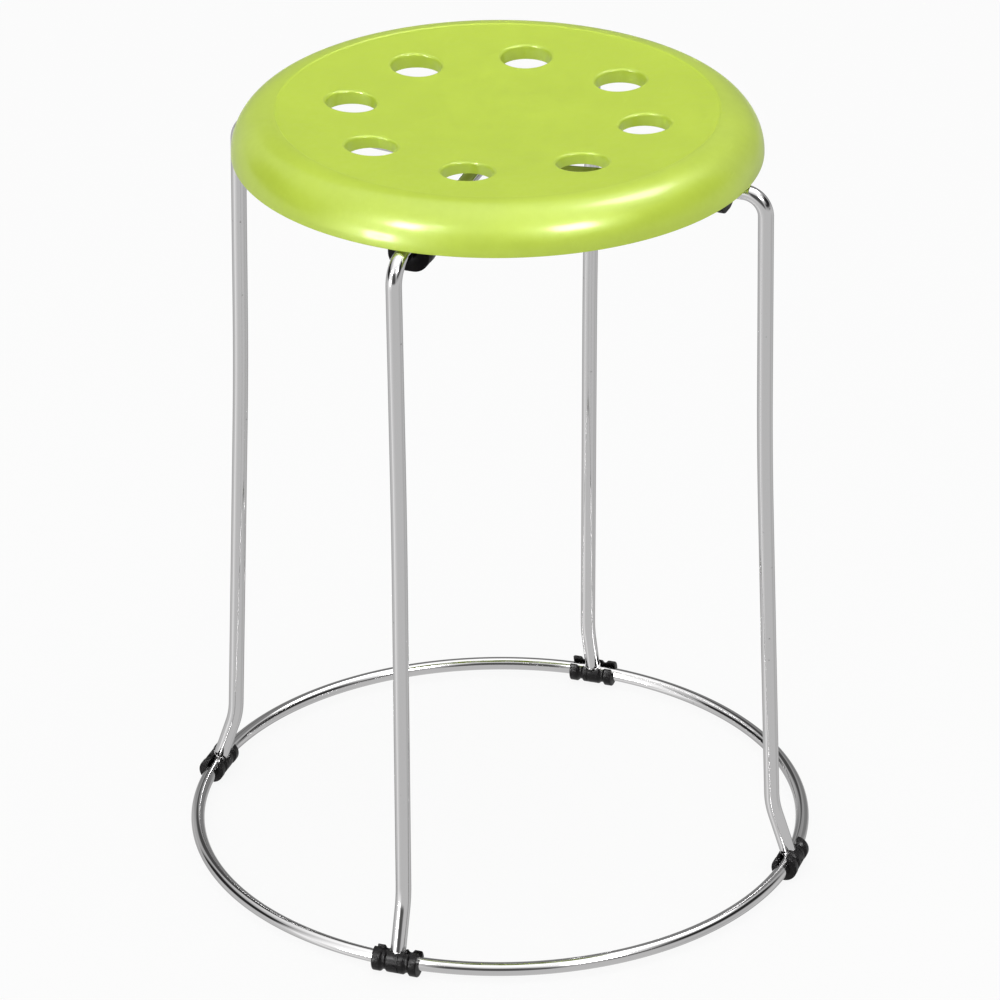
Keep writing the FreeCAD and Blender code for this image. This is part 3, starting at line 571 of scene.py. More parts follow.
def black_plastic(settings, name="BlackPlastic", gloss=0.18):
    """Satin black plastic with a faint mould texture and paler rubbed spots."""
    material, tree, shader, place = new_material(name)
    grain = use_group(tree, "MouldedGrain", place, Scale=1700.0)
    marks = use_group(tree, "HandlingMarks", place, Stretch=(500.0, 500.0, 500.0), Pits=500.0)
    rubbed = [channel * 2.4 + 0.004 for channel in settings.black]
    worn = maths(tree, "MULTIPLY", marks["Scratches"], 0.6)
    tree.links.new(mix_colour(tree, worn, settings.black, rubbed), shader.inputs["Base Color"])
    roughness = mix_value(tree, grain["Mask"], 0.30, 0.42)
    roughness = maths(tree, "ADD", roughness, maths(tree, "MULTIPLY", worn, 0.15))
    tree.links.new(roughness, shader.inputs["Roughness"])
    raise_surface(tree, shader, grain["Height"], 0.00005, 0.5)
    shader.inputs["Specular IOR Level"].default_value = gloss
    return material


# Seat

SEAT_TURNS = 288
HOLE_TURNS = 72
RIB_TURNS = 96
UPRIGHT_SIDES = 32
CREST_STEPS = 10
CREASE_STEPS = 6
SKIRT_STEPS = 5
RIM_STEPS = 36
INNER_STEPS = 24
LIP_STEPS = 8
BEND_STEPS = 6
SECTOR = 5.0
GUARD = 0.0004
PILOT_DEPTH = 0.0123


def dish_edge(settings):
    """Where the slope from the crest meets the dish, as a reach and a height."""
    reach = settings.radius - settings.rim_radius - settings.dish_step
    return reach, settings.crest_height - settings.dish_depth


def levels(settings):
    """The heights of the dish and of the ceiling while both are still level."""
    return settings.crest_height - settings.dish_depth, settings.crest_height - settings.wall


def crest_arc(settings, slope_foot, slope_top, rim_centre):
    """The rounding between the slope and the round rim, which touches both."""
    along = (Vector(slope_top) - Vector(slope_foot)).normalized()
    inward = Vector((along.y, -along.x))
    start = Vector(slope_foot) + inward * settings.crest_rounding - Vector(rim_centre)
    reach = settings.rim_radius - settings.crest_rounding
    half = start.dot(along)
    run = -half + math.sqrt(half * half - start.dot(start) + reach * reach)
    centre = start + along * run
    on_slope = math.degrees(math.atan2(-inward.y, -inward.x))
    on_rim = math.degrees(math.atan2(centre.y, centre.x))
    points = arc(centre + Vector(rim_centre), settings.crest_rounding, on_slope, on_rim, CREST_STEPS)
    return points, on_rim


def dish_bend_end(settings):
    """Where the bend round the dish's flat middle ends and its straight slope starts."""
    edge = Vector(dish_edge(settings))
    centre = Vector((settings.dish_flat, edge.y - settings.dish_fall + settings.dish_bend))
    way = edge - centre
    run = math.sqrt(way.length_squared - settings.dish_bend ** 2)
    across = Vector((way.y, -way.x))
    return centre + (way * settings.dish_bend + across * run) * (settings.dish_bend / way.length_squared)


def dish_height(settings, reach):
    """Height of the dish at a distance from the middle."""
    end = dish_bend_end(settings)
    edge_reach, edge_height = dish_edge(settings)
    if reach >= end.x:
        return edge_height - (edge_reach - reach) * (edge_height - end.y) / (edge_reach - end.x)
    past_flat = max(reach - settings.dish_flat, 0.0)
    return edge_height - settings.dish_fall + settings.dish_bend - math.sqrt(
        settings.dish_bend ** 2 - past_flat ** 2)


def ceiling_height(settings, reach):
    """Height of the shell's underside inside the rim."""
    top = settings.crest_height - settings.wall
    floor = top - settings.dish_depth - settings.dish_fall
    start = (settings.dish_flat + dish_bend_end(settings).x) / 2
    crest_reach = settings.radius - settings.rim_radius
    return floor + max(reach - start, 0.0) * (top - floor) / (crest_reach - start)


def hole_room(settings):
    """How far a hole with its rounded lip reaches to each side of its middle."""
    return settings.hole_radius + settings.hole_lip + 4 * GUARD


def seat_outline(settings):
    """The shell's section from outside the holes over the rim and back, its dish still level."""
    dish, ceiling = levels(settings)
    widest = settings.crest_height - settings.rim_radius
    skirt = widest - settings.rim_skirt
    rim_centre = (settings.radius - settings.rim_radius, widest)
    crease = dish_edge(settings)
    crest = (rim_centre[0], settings.crest_height)
    inner_radius = settings.rim_radius - settings.wall
    inner_wall = settings.radius - settings.wall

    creased = rounded_corner((0.0, dish), crease, crest, settings.crease_rounding, CREASE_STEPS)
    crested, rim_start = crest_arc(settings, crease, crest, rim_centre)
    skirted = rounded_corner(
        (settings.radius, widest), (settings.radius, skirt), (0.0, skirt), settings.skirt_rounding,
        SKIRT_STEPS)
    belt = settings.hole_reach + hole_room(settings)
    return (
        [(belt, dish)] + creased + crested
        + arc(rim_centre, settings.rim_radius, rim_start, 0.0, RIM_STEPS)[1:]
        + skirted + [(inner_wall, skirt)]
        + arc(rim_centre, inner_radius, 0.0, 90.0, INNER_STEPS) + [(belt, ceiling)])


def middle_outline(settings, height):
    """The middle of the dish or the ceiling, still level, from inside the holes to the pole."""
    edge = settings.hole_reach - hole_room(settings)
    end = dish_bend_end(settings).x
    bend = [end + (settings.dish_flat - end) * step / BEND_STEPS for step in range(BEND_STEPS + 1)]
    return [(reach, height) for reach in [edge, *bend, settings.dish_flat / 2, 0.0]]


def hole_outline(settings):
    """The section of a hole's lip, wall and collar."""
    dish, ceiling = levels(settings)
    bottom = dish - settings.collar_height
    lip_centre = (settings.hole_radius + settings.hole_lip, dish - settings.hole_lip)
    collar = settings.hole_radius + settings.collar_wall
    return (
        [(lip_centre[0] + GUARD, dish)]
        + arc(lip_centre, settings.hole_lip, 90.0, 180.0, LIP_STEPS)
        + [(settings.hole_radius, bottom), (collar, bottom), (collar, ceiling), (collar + GUARD, ceiling)])


def fill_level(bm, height):
    """Fills the flat at a height, up to all the open edges that lie in it."""
    edges = [
        edge for edge in bm.edges
        if edge.is_boundary and all(abs(vert.co.z - height) < SAME_PLACE for vert in edge.verts)]
    bmesh.ops.triangle_fill(bm, use_beauty=True, use_dissolve=False, edges=edges, normal=UPRIGHT)


def sink_dish(bm, settings):
    """Cuts the level dish and ceiling into sectors, then lowers them and the lips to their slope."""
    for number in range(round(180.0 / SECTOR)):
        across = math.radians(SECTOR * number)
        cut_at(bm, (math.cos(across), math.sin(across), 0.0))
    dish, ceiling = levels(settings)
    crest_reach = settings.radius - settings.rim_radius
    for vert in bm.verts:
        reach = vert.co.xy.length
        if reach < dish_edge(settings)[0] and vert.co.z > dish - settings.hole_lip - SAME_PLACE:
            vert.co.z += dish_height(settings, reach) - dish
        elif reach < crest_reach and abs(vert.co.z - ceiling) < SAME_PLACE:
            vert.co.z = ceiling_height(settings, reach)


def seat_shell(settings):
    """The shell with its holes and collars, closed all round."""
    hole = bmesh.new()
    spun(hole, hole_outline(settings), HOLE_TURNS)
    collar = mesh_from(hole, "collar")
    bm = bmesh.new()
    spun(bm, seat_outline(settings), SEAT_TURNS)
    for number in range(settings.hole_count):
        direction = math.radians(settings.hole_angle + 360.0 * number / settings.hole_count)
        placed = collar.copy()
        placed.transform(Matrix.Translation(
            Vector((math.cos(direction), math.sin(direction), 0.0)) * settings.hole_reach))
        bm.from_mesh(placed)
    for height in levels(settings):
        spun(bm, middle_outline(settings, height), SEAT_TURNS // 2)
    bmesh.ops.remove_doubles(bm, verts=bm.verts, dist=SAME_PLACE)
    for height in levels(settings):
        fill_level(bm, height)
    sink_dish(bm, settings)
    return mesh_from(bm, "seat")


def saddle_middle(hardware):
    return hardware.saddle_start + hardware.saddle_length / 2


def screw_offsets(hardware):
    """How far a saddle's two screws stand to each side of the wire."""
    return hardware.screw_spacing / 2, -hardware.screw_spacing / 2


def under_seat(seat, wires, hardware):
    """Closed meshes for the ring rib, the spokes, the bosses, and the webs between the bosses."""
    inside = seat.crest_height - seat.wall * 3 / 4
    floor = ceiling_height(seat, 0.0)
    inner_top = floor + seat.wall / 2
    rib_bottom = floor - seat.rib_height
    ring_outer = seat.ring_rib_radius
    ring_inner = ring_outer - seat.rib_thickness
    ring_rib = bmesh.new()
    spun(ring_rib, [(ring_inner, rib_bottom), (ring_outer, rib_bottom), (ring_outer, inner_top),
                    (ring_inner, inner_top)], RIB_TURNS, closed=True)
    spokes = bmesh.new()
    spoke_end = seat.radius - seat.rim_radius + seat.wall
    half_rib = seat.rib_thickness / 2
    for number in range(seat.hole_count):
        angle = seat.hole_angle + 360.0 * (number + 0.5) / seat.hole_count
        spoke = add_block(
            spokes, (ring_inner + half_rib, -half_rib, rib_bottom), (spoke_end, half_rib, inside), angle)
        for vert in spoke:
            if vert.co.z > floor and vert.co.xy.length < seat.hole_reach:
                vert.co.z = inner_top
    bosses = bmesh.new()
    webs = bmesh.new()
    middle = saddle_middle(hardware)
    bottom = wires.rim_height + hardware.seat_gap / 2
    half_web = hardware.web_thickness / 2
    left, right = screw_offsets(hardware)
    for side in SIDES.values():
        angle = side + wires.twist
        for aside in (left, right):
            add_upright(bosses, hardware.boss_radius, bottom, inside, middle, aside, angle)
        add_block(webs, (middle - half_web, right, bottom), (middle + half_web, left, inside), angle)
    return [mesh_from(bm, "under_seat") for bm in (ring_rib, spokes, bosses, webs)]


def boss_cuts(wires, hardware):
    """The pilot holes in the bosses, and the notches over the wires."""
    bm = bmesh.new()
    middle = saddle_middle(hardware)
    bottom = wires.rim_height + hardware.seat_gap / 2
    notch = wires.leg_radius + hardware.seat_gap
    for side in SIDES.values():
        angle = side + wires.twist
        for aside in screw_offsets(hardware):
            add_upright(
                bm, hardware.screw_radius, bottom - notch, bottom + PILOT_DEPTH, middle, aside, angle)
        over_wire = upright_turn(angle) @ Matrix.Translation((middle, 0.0, wires.rim_height))
        add_rod(bm, notch, hardware.web_thickness * 2, over_wire @ ALONG_X, WIRE_SIDES)
    return mesh_from(bm, "boss_cuts")


class OBJECT_OT_stool_seat(bpy.types.Operator):
    """Models the moulded seat with its holes, collars, ribs and bosses"""
    bl_idname = "object.stool_seat"
    bl_label = "Model Seat"

    def execute(self, context):
        seat = context.scene.stool_seat
        wires = context.scene.stool_wires
        hardware = context.scene.stool_hardware
        shell = seat_shell(seat)
        for added in under_seat(seat, wires, hardware):
            shell = combine(shell, added, "UNION")
        shell = combine(shell, boss_cuts(wires, hardware), "DIFFERENCE")
        show("seat_shell", shell, seat_plastic(seat), "seat_plastic", "seat")
        return {"FINISHED"}


# Wires and ring

WIRE_SIDES = 48
RING_SIDES = 40
RING_TURNS = 360
RUN_GUARD = 0.001
LEAST_STEPS = 6
DEGREES_A_STEP = 3


def loop_edges(verts):
    verts = set(verts)
    near = {edge for vert in verts for edge in vert.link_edges}
    return [edge for edge in near if all(vert in verts for vert in edge.verts)]


def run_on(bm, edges, way):
    """Draws the open end of a wire straight on, with a close ring at each end of the run."""
    guard = min(RUN_GUARD, way.length / 4)
    for stretch in (guard, way.length - 2 * guard, guard):
        verts = only(bmesh.types.BMVert, bmesh.ops.extrude_edge_only(bm, edges=edges)["geom"])
        bmesh.ops.translate(bm, verts=verts, vec=way.normalized() * stretch)
        edges = loop_edges(verts)
    return edges


def bend_on(bm, edges, centre, axis, angle, steps):
    """Bends the wire on from its open end."""
    verts = list({v for e in edges for v in e.verts})
    return only(bmesh.types.BMEdge, spin(bm, verts + edges, angle, steps, centre, axis))


def bent_wire(bm, corners, radii, wire_radius):
    """A round wire that runs straight between corners, and bends at each by its own radius."""
    place = corners[0]
    heading = (corners[1] - place).normalized()
    turn = Matrix.Translation(place) @ heading.to_track_quat("Z", "Y").to_matrix().to_4x4()
    start = bmesh.ops.create_circle(
        bm, cap_ends=False, radius=wire_radius, segments=WIRE_SIDES, matrix=turn)["verts"]
    edges = loop_edges(start)
    for corner, following, radius in zip(corners[1:], corners[2:], radii):
        next_heading = (following - corner).normalized()
        axis = heading.cross(next_heading).normalized()
        angle = heading.angle(next_heading)
        bend_start = corner - heading * (radius * math.tan(angle / 2))
        edges = run_on(bm, edges, bend_start - place)
        centre = bend_start + axis.cross(heading) * radius
        steps = LEAST_STEPS + round(math.degrees(angle) / DEGREES_A_STEP)
        edges = bend_on(bm, edges, centre, axis, angle, steps)
        place = corner + next_heading * (radius * math.tan(angle / 2))
        heading = next_heading
    edges = run_on(bm, edges, corners[-1] - place)
    bmesh.ops.contextual_create(bm, geom=edges)


def leg_corners(wires, crossing_sign):
    """The corners of half a leg wire, from the crossing to the foot on the ring."""
    rim_height = wires.rim_height
    middle = rim_height + wires.crossing_offset * crossing_sign
    ankle = Vector((RING_RADIUS - wires.ankle_in, 0.0, wires.ankle_height))
    ring_place = Vector((RING_RADIUS, 0.0, RING_HEIGHT))
    foot = ring_place + (ankle - ring_place).normalized() * (RING_WIRE - wires.foot_bite)
    arch = [(0.0, middle), (wires.joggle_inner, middle), (wires.joggle_outer, rim_height),
            (wires.leg_reach, rim_height)]
    knee = Vector((wires.leg_reach + wires.knee_out, 0.0, wires.knee_height))
    lean = math.asin(RING_RADIUS * math.sin(math.radians(-wires.twist)) / (rim_height - RING_HEIGHT))
    lean_about = Vector((0.0, 0.0, rim_height))
    leaned = [lean_about + Matrix.Rotation(lean, 3, "X") @ (point - lean_about)
              for point in (knee, ankle, foot)]
    return [Vector((reach, 0.0, height)) for reach, height in arch] + leaned


def turn_verts(bm, verts, angle):
    bmesh.ops.rotate(bm, cent=ORIGIN, matrix=upright_turn(angle).to_3x3(), verts=verts)


def leg_wire(wires, angle, crossing_sign):
    bm = bmesh.new()
    radii = [wires.joggle_bend, wires.joggle_bend, wires.corner_bend, wires.knee_bend, wires.ankle_bend]
    bent_wire(bm, leg_corners(wires, crossing_sign), radii, wires.leg_radius)
    made = bmesh.ops.duplicate(bm, geom=bm.verts[:] + bm.edges[:] + bm.faces[:])["geom"]
    turn_verts(bm, only(bmesh.types.BMVert, made), 180.0)
    turn_verts(bm, bm.verts, angle)
    return mesh_from(bm, "leg_wire")


class OBJECT_OT_stool_leg_wires(bpy.types.Operator):
    """Bends the two leg wires, each an arch with two legs"""
    bl_idname = "object.stool_leg_wires"
    bl_label = "Bend Leg Wires"

    def execute(self, context):
        wires = context.scene.stool_wires
        chrome = chrome_plate(wires)
        for name, side, crossing_sign in (("front_back", "front", 1), ("left_right", "right", -1)):
            mesh = leg_wire(wires, SIDES[side] + wires.twist, crossing_sign)
            show(f"{name}_wire", mesh, chrome, "chrome_wire", f"{name}_leg_wire")
        return {"FINISHED"}


def ring_section(radius):
    """A circle round the ring wire's middle, as (reach, height) pairs."""
    return arc((RING_RADIUS, RING_HEIGHT), radius, 0.0, 360.0, RING_SIDES)[:-1]


def ring_mesh():
    bm = bmesh.new()
    spun(bm, ring_section(RING_WIRE), RING_TURNS, closed=True)
    return mesh_from(bm, "ring")


class OBJECT_OT_stool_base_ring(bpy.types.Operator):
    """Rolls the wire ring that joins the feet"""
    bl_idname = "object.stool_base_ring"
    bl_label = "Roll Base Ring"

    def execute(self, context):
        wires = context.scene.stool_wires
        chrome = chrome_plate(wires, "RingChrome", (140.0, 140.0, 1400.0))
        show("ring_wire", ring_mesh(), chrome, "chrome_wire", "base_ring")
        return {"FINISHED"}


# Foot clips, saddles, welds and screws

CLIP_TURNS = 96
BORE_STEPS = 24
PIP_SIDES = 24
PIP_TAPER = 0.8
EDGE_STEPS = 4
CORNER_STEPS = 14
GROOVE_STEPS = 24
GROOVE_START = 2.0
BEVEL_STEPS = 3

def clip_outline(hardware):
    """Half of the barrel's outline, as (along, radius) pairs from the middle to the end."""
    half = hardware.clip_length / 2
    flange_inner = half - hardware.flange_width
    neck_outer = flange_inner - hardware.slope
    neck_inner = neck_outer - hardware.neck_width
    corners = [
        (0.0, hardware.bulge_radius), (neck_inner - hardware.slope, hardware.bulge_radius),
        (neck_inner, hardware.neck_radius), (neck_outer, hardware.neck_radius),
        (flange_inner, hardware.flange_radius), (half, hardware.flange_radius), (half, 0.0)]
    outline = []
    for before, corner, after in zip(corners, corners[1:], corners[2:]):
        outline += rounded_corner(before, corner, after, hardware.clip_rounding, EDGE_STEPS)
    return outline + [corners[-1]]


def mould_line(hardware):
    """The small groove beside the middle of the bulge."""
    half = hardware.line_width / 2
    floor = hardware.bulge_radius - hardware.line_depth
    return [
        (hardware.line_place - half, hardware.bulge_radius), (hardware.line_place - half / 2, floor),
        (hardware.line_place + half / 2, floor), (hardware.line_place + half, hardware.bulge_radius)]


def clip_barrel(hardware, place):
    """The clip's solid barrel along the ring, with the pip on its outside."""
    half_outline = clip_outline(hardware)
    outline = [(-along, reach) for along, reach in reversed(half_outline)]
    outline += mould_line(hardware) + half_outline
    bm = bmesh.new()
    spun(bm, [(reach, along) for along, reach in outline], CLIP_TURNS)
    bmesh.ops.transform(bm, matrix=place @ Matrix.Rotation(-math.pi / 2, 4, "X"), verts=bm.verts)
    pip_length = hardware.bulge_radius - hardware.neck_radius + hardware.pip_rise
    outward = Matrix.Translation((hardware.neck_radius + pip_length / 2, 0.0, 0.0)) @ ALONG_X
    pip = bmesh.new()
    add_rod(pip, hardware.pip_radius, pip_length, place @ outward, PIP_SIDES,
            hardware.pip_radius * PIP_TAPER)
    return combine(mesh_from(bm, "clip"), mesh_from(pip, "pip"), "UNION")


def clip_cuts(wires, hardware, place):
    """What is cut from a clip: the ring's bore, the slot along the top, and the leg's room."""
    bore = bmesh.new()
    section = ring_section(RING_WIRE + hardware.clip_fit)
    end = bore.faces.new([bore.verts.new((reach, 0.0, height)) for reach, height in section])
    half_sweep = hardware.clip_length / RING_RADIUS
    turn_verts(bore, bore.verts, -math.degrees(half_sweep))
    spin(bore, [end, *end.edges, *end.verts], 2 * half_sweep, BORE_STEPS)

    reach = 2 * hardware.flange_radius
    rise = wires.ankle_height - RING_HEIGHT
    lean = Matrix.Rotation(-math.atan2(wires.ankle_in, rise), 4, "Y")
    slot = bmesh.new()
    size = Matrix.Diagonal((hardware.clip_slot, 2 * hardware.clip_length, reach)).to_4x4()
    middle = Matrix.Translation((0.0, 0.0, reach / 2))
    bmesh.ops.create_cube(slot, size=1.0, matrix=place @ lean @ middle @ size)

    upward = Vector((-wires.ankle_in, 0.0, rise)).normalized()
    along_leg = upward.to_track_quat("Z", "Y").to_matrix().to_4x4()
    room = bmesh.new()
    add_rod(room, hardware.leg_room, reach, place @ Matrix.Translation(upward * reach / 2) @ along_leg,
            WIRE_SIDES)
    return bore, slot, room


def clip_mesh(wires, hardware):
    """A clip at the right-hand foot, round the ring, with its flat sole."""
    place = Matrix.Translation((RING_RADIUS, 0.0, RING_HEIGHT))
    mesh = clip_barrel(hardware, place)
    for cut in clip_cuts(wires, hardware, place):
        mesh = cut_away(mesh, cut, "clip_cut")
    sole = bmesh.new()
    sole.from_mesh(mesh)
    cut_at(sole, (0.0, 0.0, -1.0), clear=True)
    bmesh.ops.holes_fill(sole, edges=[e for e in sole.edges if e.is_boundary], sides=0)
    return mesh_from(sole, "foot_clip")


class OBJECT_OT_stool_foot_clips(bpy.types.Operator):
    """Models the four black foot clips"""
    bl_idname = "object.stool_foot_clips"
    bl_label = "Model Foot Clips"

    def execute(self, context):
        hardware = context.scene.stool_hardware
        black = black_plastic(hardware)
        mesh = clip_mesh(context.scene.stool_wires, hardware)
        for name, side in SIDES.items():
            show(f"clip_{name}", turned(mesh, side), black, "black_plastic", f"foot_clip_{name}")
        return {"FINISHED"}


def saddle_mesh(wires, hardware):
    """A saddle on the +X side, with the wire's groove on top and wells for two screws."""
    half = hardware.saddle_half_width
    corner = hardware.saddle_corner
    bottom = wires.rim_height - hardware.saddle_depth
    top = wires.rim_height - hardware.seat_gap / 2
    groove = wires.leg_radius + hardware.seat_gap
    outline = (
        [(-half, top)] + arc((corner - half, bottom + corner), corner, 180.0, 270.0, CORNER_STEPS)
        + arc((half - corner, bottom + corner), corner, 270.0, 360.0, CORNER_STEPS) + [(half, top)]
        + arc((0.0, wires.rim_height), groove, -GROOVE_START, GROOVE_START - 180.0, GROOVE_STEPS))
    bm = bmesh.new()
    end = bm.faces.new(
        [bm.verts.new((hardware.saddle_start, across, height)) for across, height in outline])
    made = bmesh.ops.extrude_face_region(bm, geom=[end])["geom"]
    bmesh.ops.translate(
        bm, verts=only(bmesh.types.BMVert, made), vec=(hardware.saddle_length, 0.0, 0.0))
    close_up(bm)
    edges = [edge for edge in bm.edges if edge.calc_face_angle(0.0) > math.radians(SMOOTH_BELOW)]
    bmesh.ops.bevel(
        bm, geom=edges, offset=hardware.saddle_rounding, offset_type="OFFSET", affect="EDGES",
        segments=BEVEL_STEPS, profile=0.5, material=-1, clamp_overlap=True)
    wells = bmesh.new()
    seat_height = wires.rim_height - hardware.saddle_floor
    middle = saddle_middle(hardware)
    for aside in screw_offsets(hardware):
        add_upright(wells, hardware.head_room, bottom - corner, seat_height, middle, aside)
        add_upright(wells, hardware.screw_radius, bottom, top + corner, middle, aside)
    return cut_away(mesh_from(bm, "saddle"), wells, "wells")


class OBJECT_OT_stool_saddles(bpy.types.Operator):
    """Models the four black saddles that hold the wires to the seat"""
    bl_idname = "object.stool_saddles"
    bl_label = "Model Saddles"

    def execute(self, context):
        wires = context.scene.stool_wires
        hardware = context.scene.stool_hardware
        # The saddles' copy of the black plastic reflects less than the clips': painted shade for their
        # place under the seat.
        black = black_plastic(hardware, "SaddlePlasticShaded", 0.06)
        mesh = saddle_mesh(wires, hardware)
        for name, side in SIDES.items():
            show(f"saddle_{name}", turned(mesh, side + wires.twist), black, "black_plastic",
                 f"seat_saddle_{name}")
        return {"FINISHED"}


def finish_node(node, material):
    """Gives a CAD node its material, and leaves its shape alone."""
    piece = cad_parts[node]
    piece.data.materials.clear()
    piece.data.materials.append(material)


class OBJECT_OT_stool_welds_and_screws(bpy.types.Operator):
    """Finishes the welds and the screws"""
    bl_idname = "object.stool_welds_and_screws"
    bl_label = "Finish Welds and Screws"

    def execute(self, context):
        weld = weld_metal(context.scene.stool_wires)
        zinc = zinc_steel()
        finish_node("crossing_weld", weld)
        for name in SIDES:
            finish_node(f"foot_weld_{name}", weld)
            for screw in "ab":
                finish_node(f"seat_screw_{name}_{screw}", zinc)
        return {"FINISHED"}


# Stage

def floor_material(studio):
    """A pale floor that keeps the stool's shadow, shows white to the camera, and is open from below."""
    material, tree, shader, place = new_material("StudioFloor")
    pale = maths(tree, "MULTIPLY", noise(tree, place, 3.0), 0.06)
    base = mix_colour(tree, pale, studio.floor_colour, (0.9, 0.9, 0.9))
    tree.links.new(base, shader.inputs["Base Color"])
    shader.inputs["Roughness"].default_value = 0.8
    shader.inputs["Specular IOR Level"].default_value = 0.0
    rays = tree.nodes.new("ShaderNodeLightPath")
    white = add_node(tree, "ShaderNodeEmission", {"Color": WHITE, "Strength": 1.0})
    seen = maths(tree, "MAXIMUM", rays.outputs["Is Camera Ray"], rays.outputs["Is Transmission Ray"])
    lit = add_node(tree, "ShaderNodeMixShader", {
        0: maths(tree, "MULTIPLY", seen, studio.floor_white), 1: shader.outputs[0], 2: white.outputs[0]})
    below = tree.nodes.new("ShaderNodeNewGeometry").outputs["Backfacing"]
    clear = tree.nodes.new("ShaderNodeBsdfTransparent").outputs[0]
    both = add_node(tree, "ShaderNodeMixShader", {0: below, 1: lit.outputs[0], 2: clear})
    tree.links.new(both.outputs[0], tree.nodes["Material Output"].inputs["Surface"])
    return material


def around_camera(studio, azimuth, elevation, distance):
    """A place in the studio, given from the stool and against the camera's own direction."""
    turn = math.radians(studio.camera_azimuth + azimuth)
    rise = math.radians(elevation)
    way = Vector((math.sin(turn) * math.cos(rise), -math.cos(turn) * math.cos(rise), math.sin(rise)))
    return Vector(studio.camera_focus) + way * distance


LAMP_DISTANCE = 2.4
Softbox = namedtuple("Softbox", "name azimuth elevation size power")
SOFTBOXES = (
    Softbox("softbox_front", -12.0, 34.0, 1.6, 9.0),
    Softbox("softbox_left", -60.0, 30.0, 1.2, 5.0),
    Softbox("softbox_top", 60.0, 80.0, 1.6, 13.0),
)


def add_softbox(studio, softbox):
    """A soft square lamp that points at the stool."""
    lamp = bpy.data.lights.new(softbox.name, "AREA")
    lamp.shape = "SQUARE"
    lamp.size = softbox.size
    lamp.energy = softbox.power
    box = bpy.data.objects.new(softbox.name, lamp)
    bpy.context.scene.collection.objects.link(box)
    box.location = around_camera(studio, softbox.azimuth, softbox.elevation, LAMP_DISTANCE)
    box.rotation_euler = (box.location - Vector(studio.camera_focus)).to_track_quat("Z", "Y").to_euler()
    box.visible_camera = False
    box.visible_glossy = False


# What gloss sees away from the cards

FLOOR_GLOSS = 0.80
WALL_GLOSS = 0.60
CEILING_GLOSS = 2.0

Card = namedtuple("Card", "azimuth elevation half_width half_height edge level")

# What stands round the stool, as gloss shows it: directions in degrees, azimuth 0 at the camera.
CARDS = (
    Card(-68.0, -30.0, 16.0, 30.0, 12.0, 1.00),    # lit floor, left
    Card(-72.0, -30.0, 3.5, 32.0, 4.0, 1.35),      # brightest strip of it
    Card(88.0, -34.0, 12.0, 18.0, 14.0, 0.68),     # dimmer floor, right
    Card(-142.0, -34.0, 16.0, 26.0, 12.0, 0.58),   # dimmer floor behind, left
    Card(148.0, -34.0, 18.0, 20.0, 12.0, 0.50),    # dimmer floor behind, right
    Card(-106.0, 15.0, 23.0, 13.0, 6.0, 0.03),     # black flag, left
    Card(78.0, 24.0, 38.0, 13.0, 7.0, 0.03),       # black flag, right
    Card(156.0, 42.0, 22.0, 11.0, 6.0, 0.35),      # grey flag, behind right
    Card(160.0, 8.0, 24.0, 16.0, 8.0, 0.30),       # dim wall under it
    Card(-2.0, 18.0, 21.0, 17.0, 7.0, 0.12),       # black flag, behind the camera
    Card(-163.0, 38.0, 17.0, 11.0, 6.0, 0.10),     # black flag, behind left
    Card(-172.0, 4.0, 16.0, 14.0, 10.0, 0.30),     # dim wall under it
    Card(-52.0, 24.0, 14.0, 34.0, 20.0, 1.7),      # soft glow round the tall softbox
    Card(38.0, 42.0, 15.0, 11.0, 18.0, 1.8),       # soft glow round the right softbox
    Card(100.0, 64.0, 50.0, 7.0, 8.0, 2.6),        # long softbox, right and overhead
    Card(-50.0, 2.0, 5.5, 8.0, 2.0, 40.0),         # bright lower end of the tall softbox
    Card(-49.5, 2.0, 2.4, 3.2, 1.6, 14.0),         # its duller middle
    Card(-44.0, 38.0, 6.0, 6.0, 4.0, 42.0),        # bright spot of the tall softbox
    Card(-31.0, 46.0, 2.0, 3.0, 2.0, 12.0),        # small lamp beside it
    Card(37.0, 40.0, 9.0, 6.0, 4.0, 42.0),         # bright line of the right softbox
    Card(119.0, 60.0, 12.0, 7.0, 7.0, 18.0),       # bright end of the long softbox
)


def studio_gloss(tree, way, camera_azimuth):
    """Pale floor, grey walls, a bright ceiling, and the cards, as a level for each direction."""
    axes = add_node(tree, "ShaderNodeSeparateXYZ", {"Vector": way})
    toward = maths(tree, "MULTIPLY", axes.outputs[1], -1.0)
    azimuth = maths(tree, "DEGREES", maths(tree, "ARCTAN2", axes.outputs[0], toward))
    elevation = maths(tree, "DEGREES", maths(tree, "ARCSINE", axes.outputs[2]))
    level = mix_value(tree, between(tree, elevation, -4.0, 5.0), FLOOR_GLOSS, WALL_GLOSS)
    level = mix_value(tree, between(tree, elevation, 25.0, 80.0), level, CEILING_GLOSS)
    for card in CARDS:
        aside = wrapped(tree, maths(tree, "SUBTRACT", azimuth, card.azimuth + camera_azimuth), 180.0)
        above = maths(tree, "SUBTRACT", elevation, card.elevation)
        spans = []
        for offset, half in ((aside, card.half_width), (above, card.half_height)):
            distance = maths(tree, "ABSOLUTE", offset)
            spans.append(between(tree, distance, half + card.edge, half - card.edge / 2))
        level = mix_value(tree, maths(tree, "MULTIPLY", *spans), level, card.level)
    return level


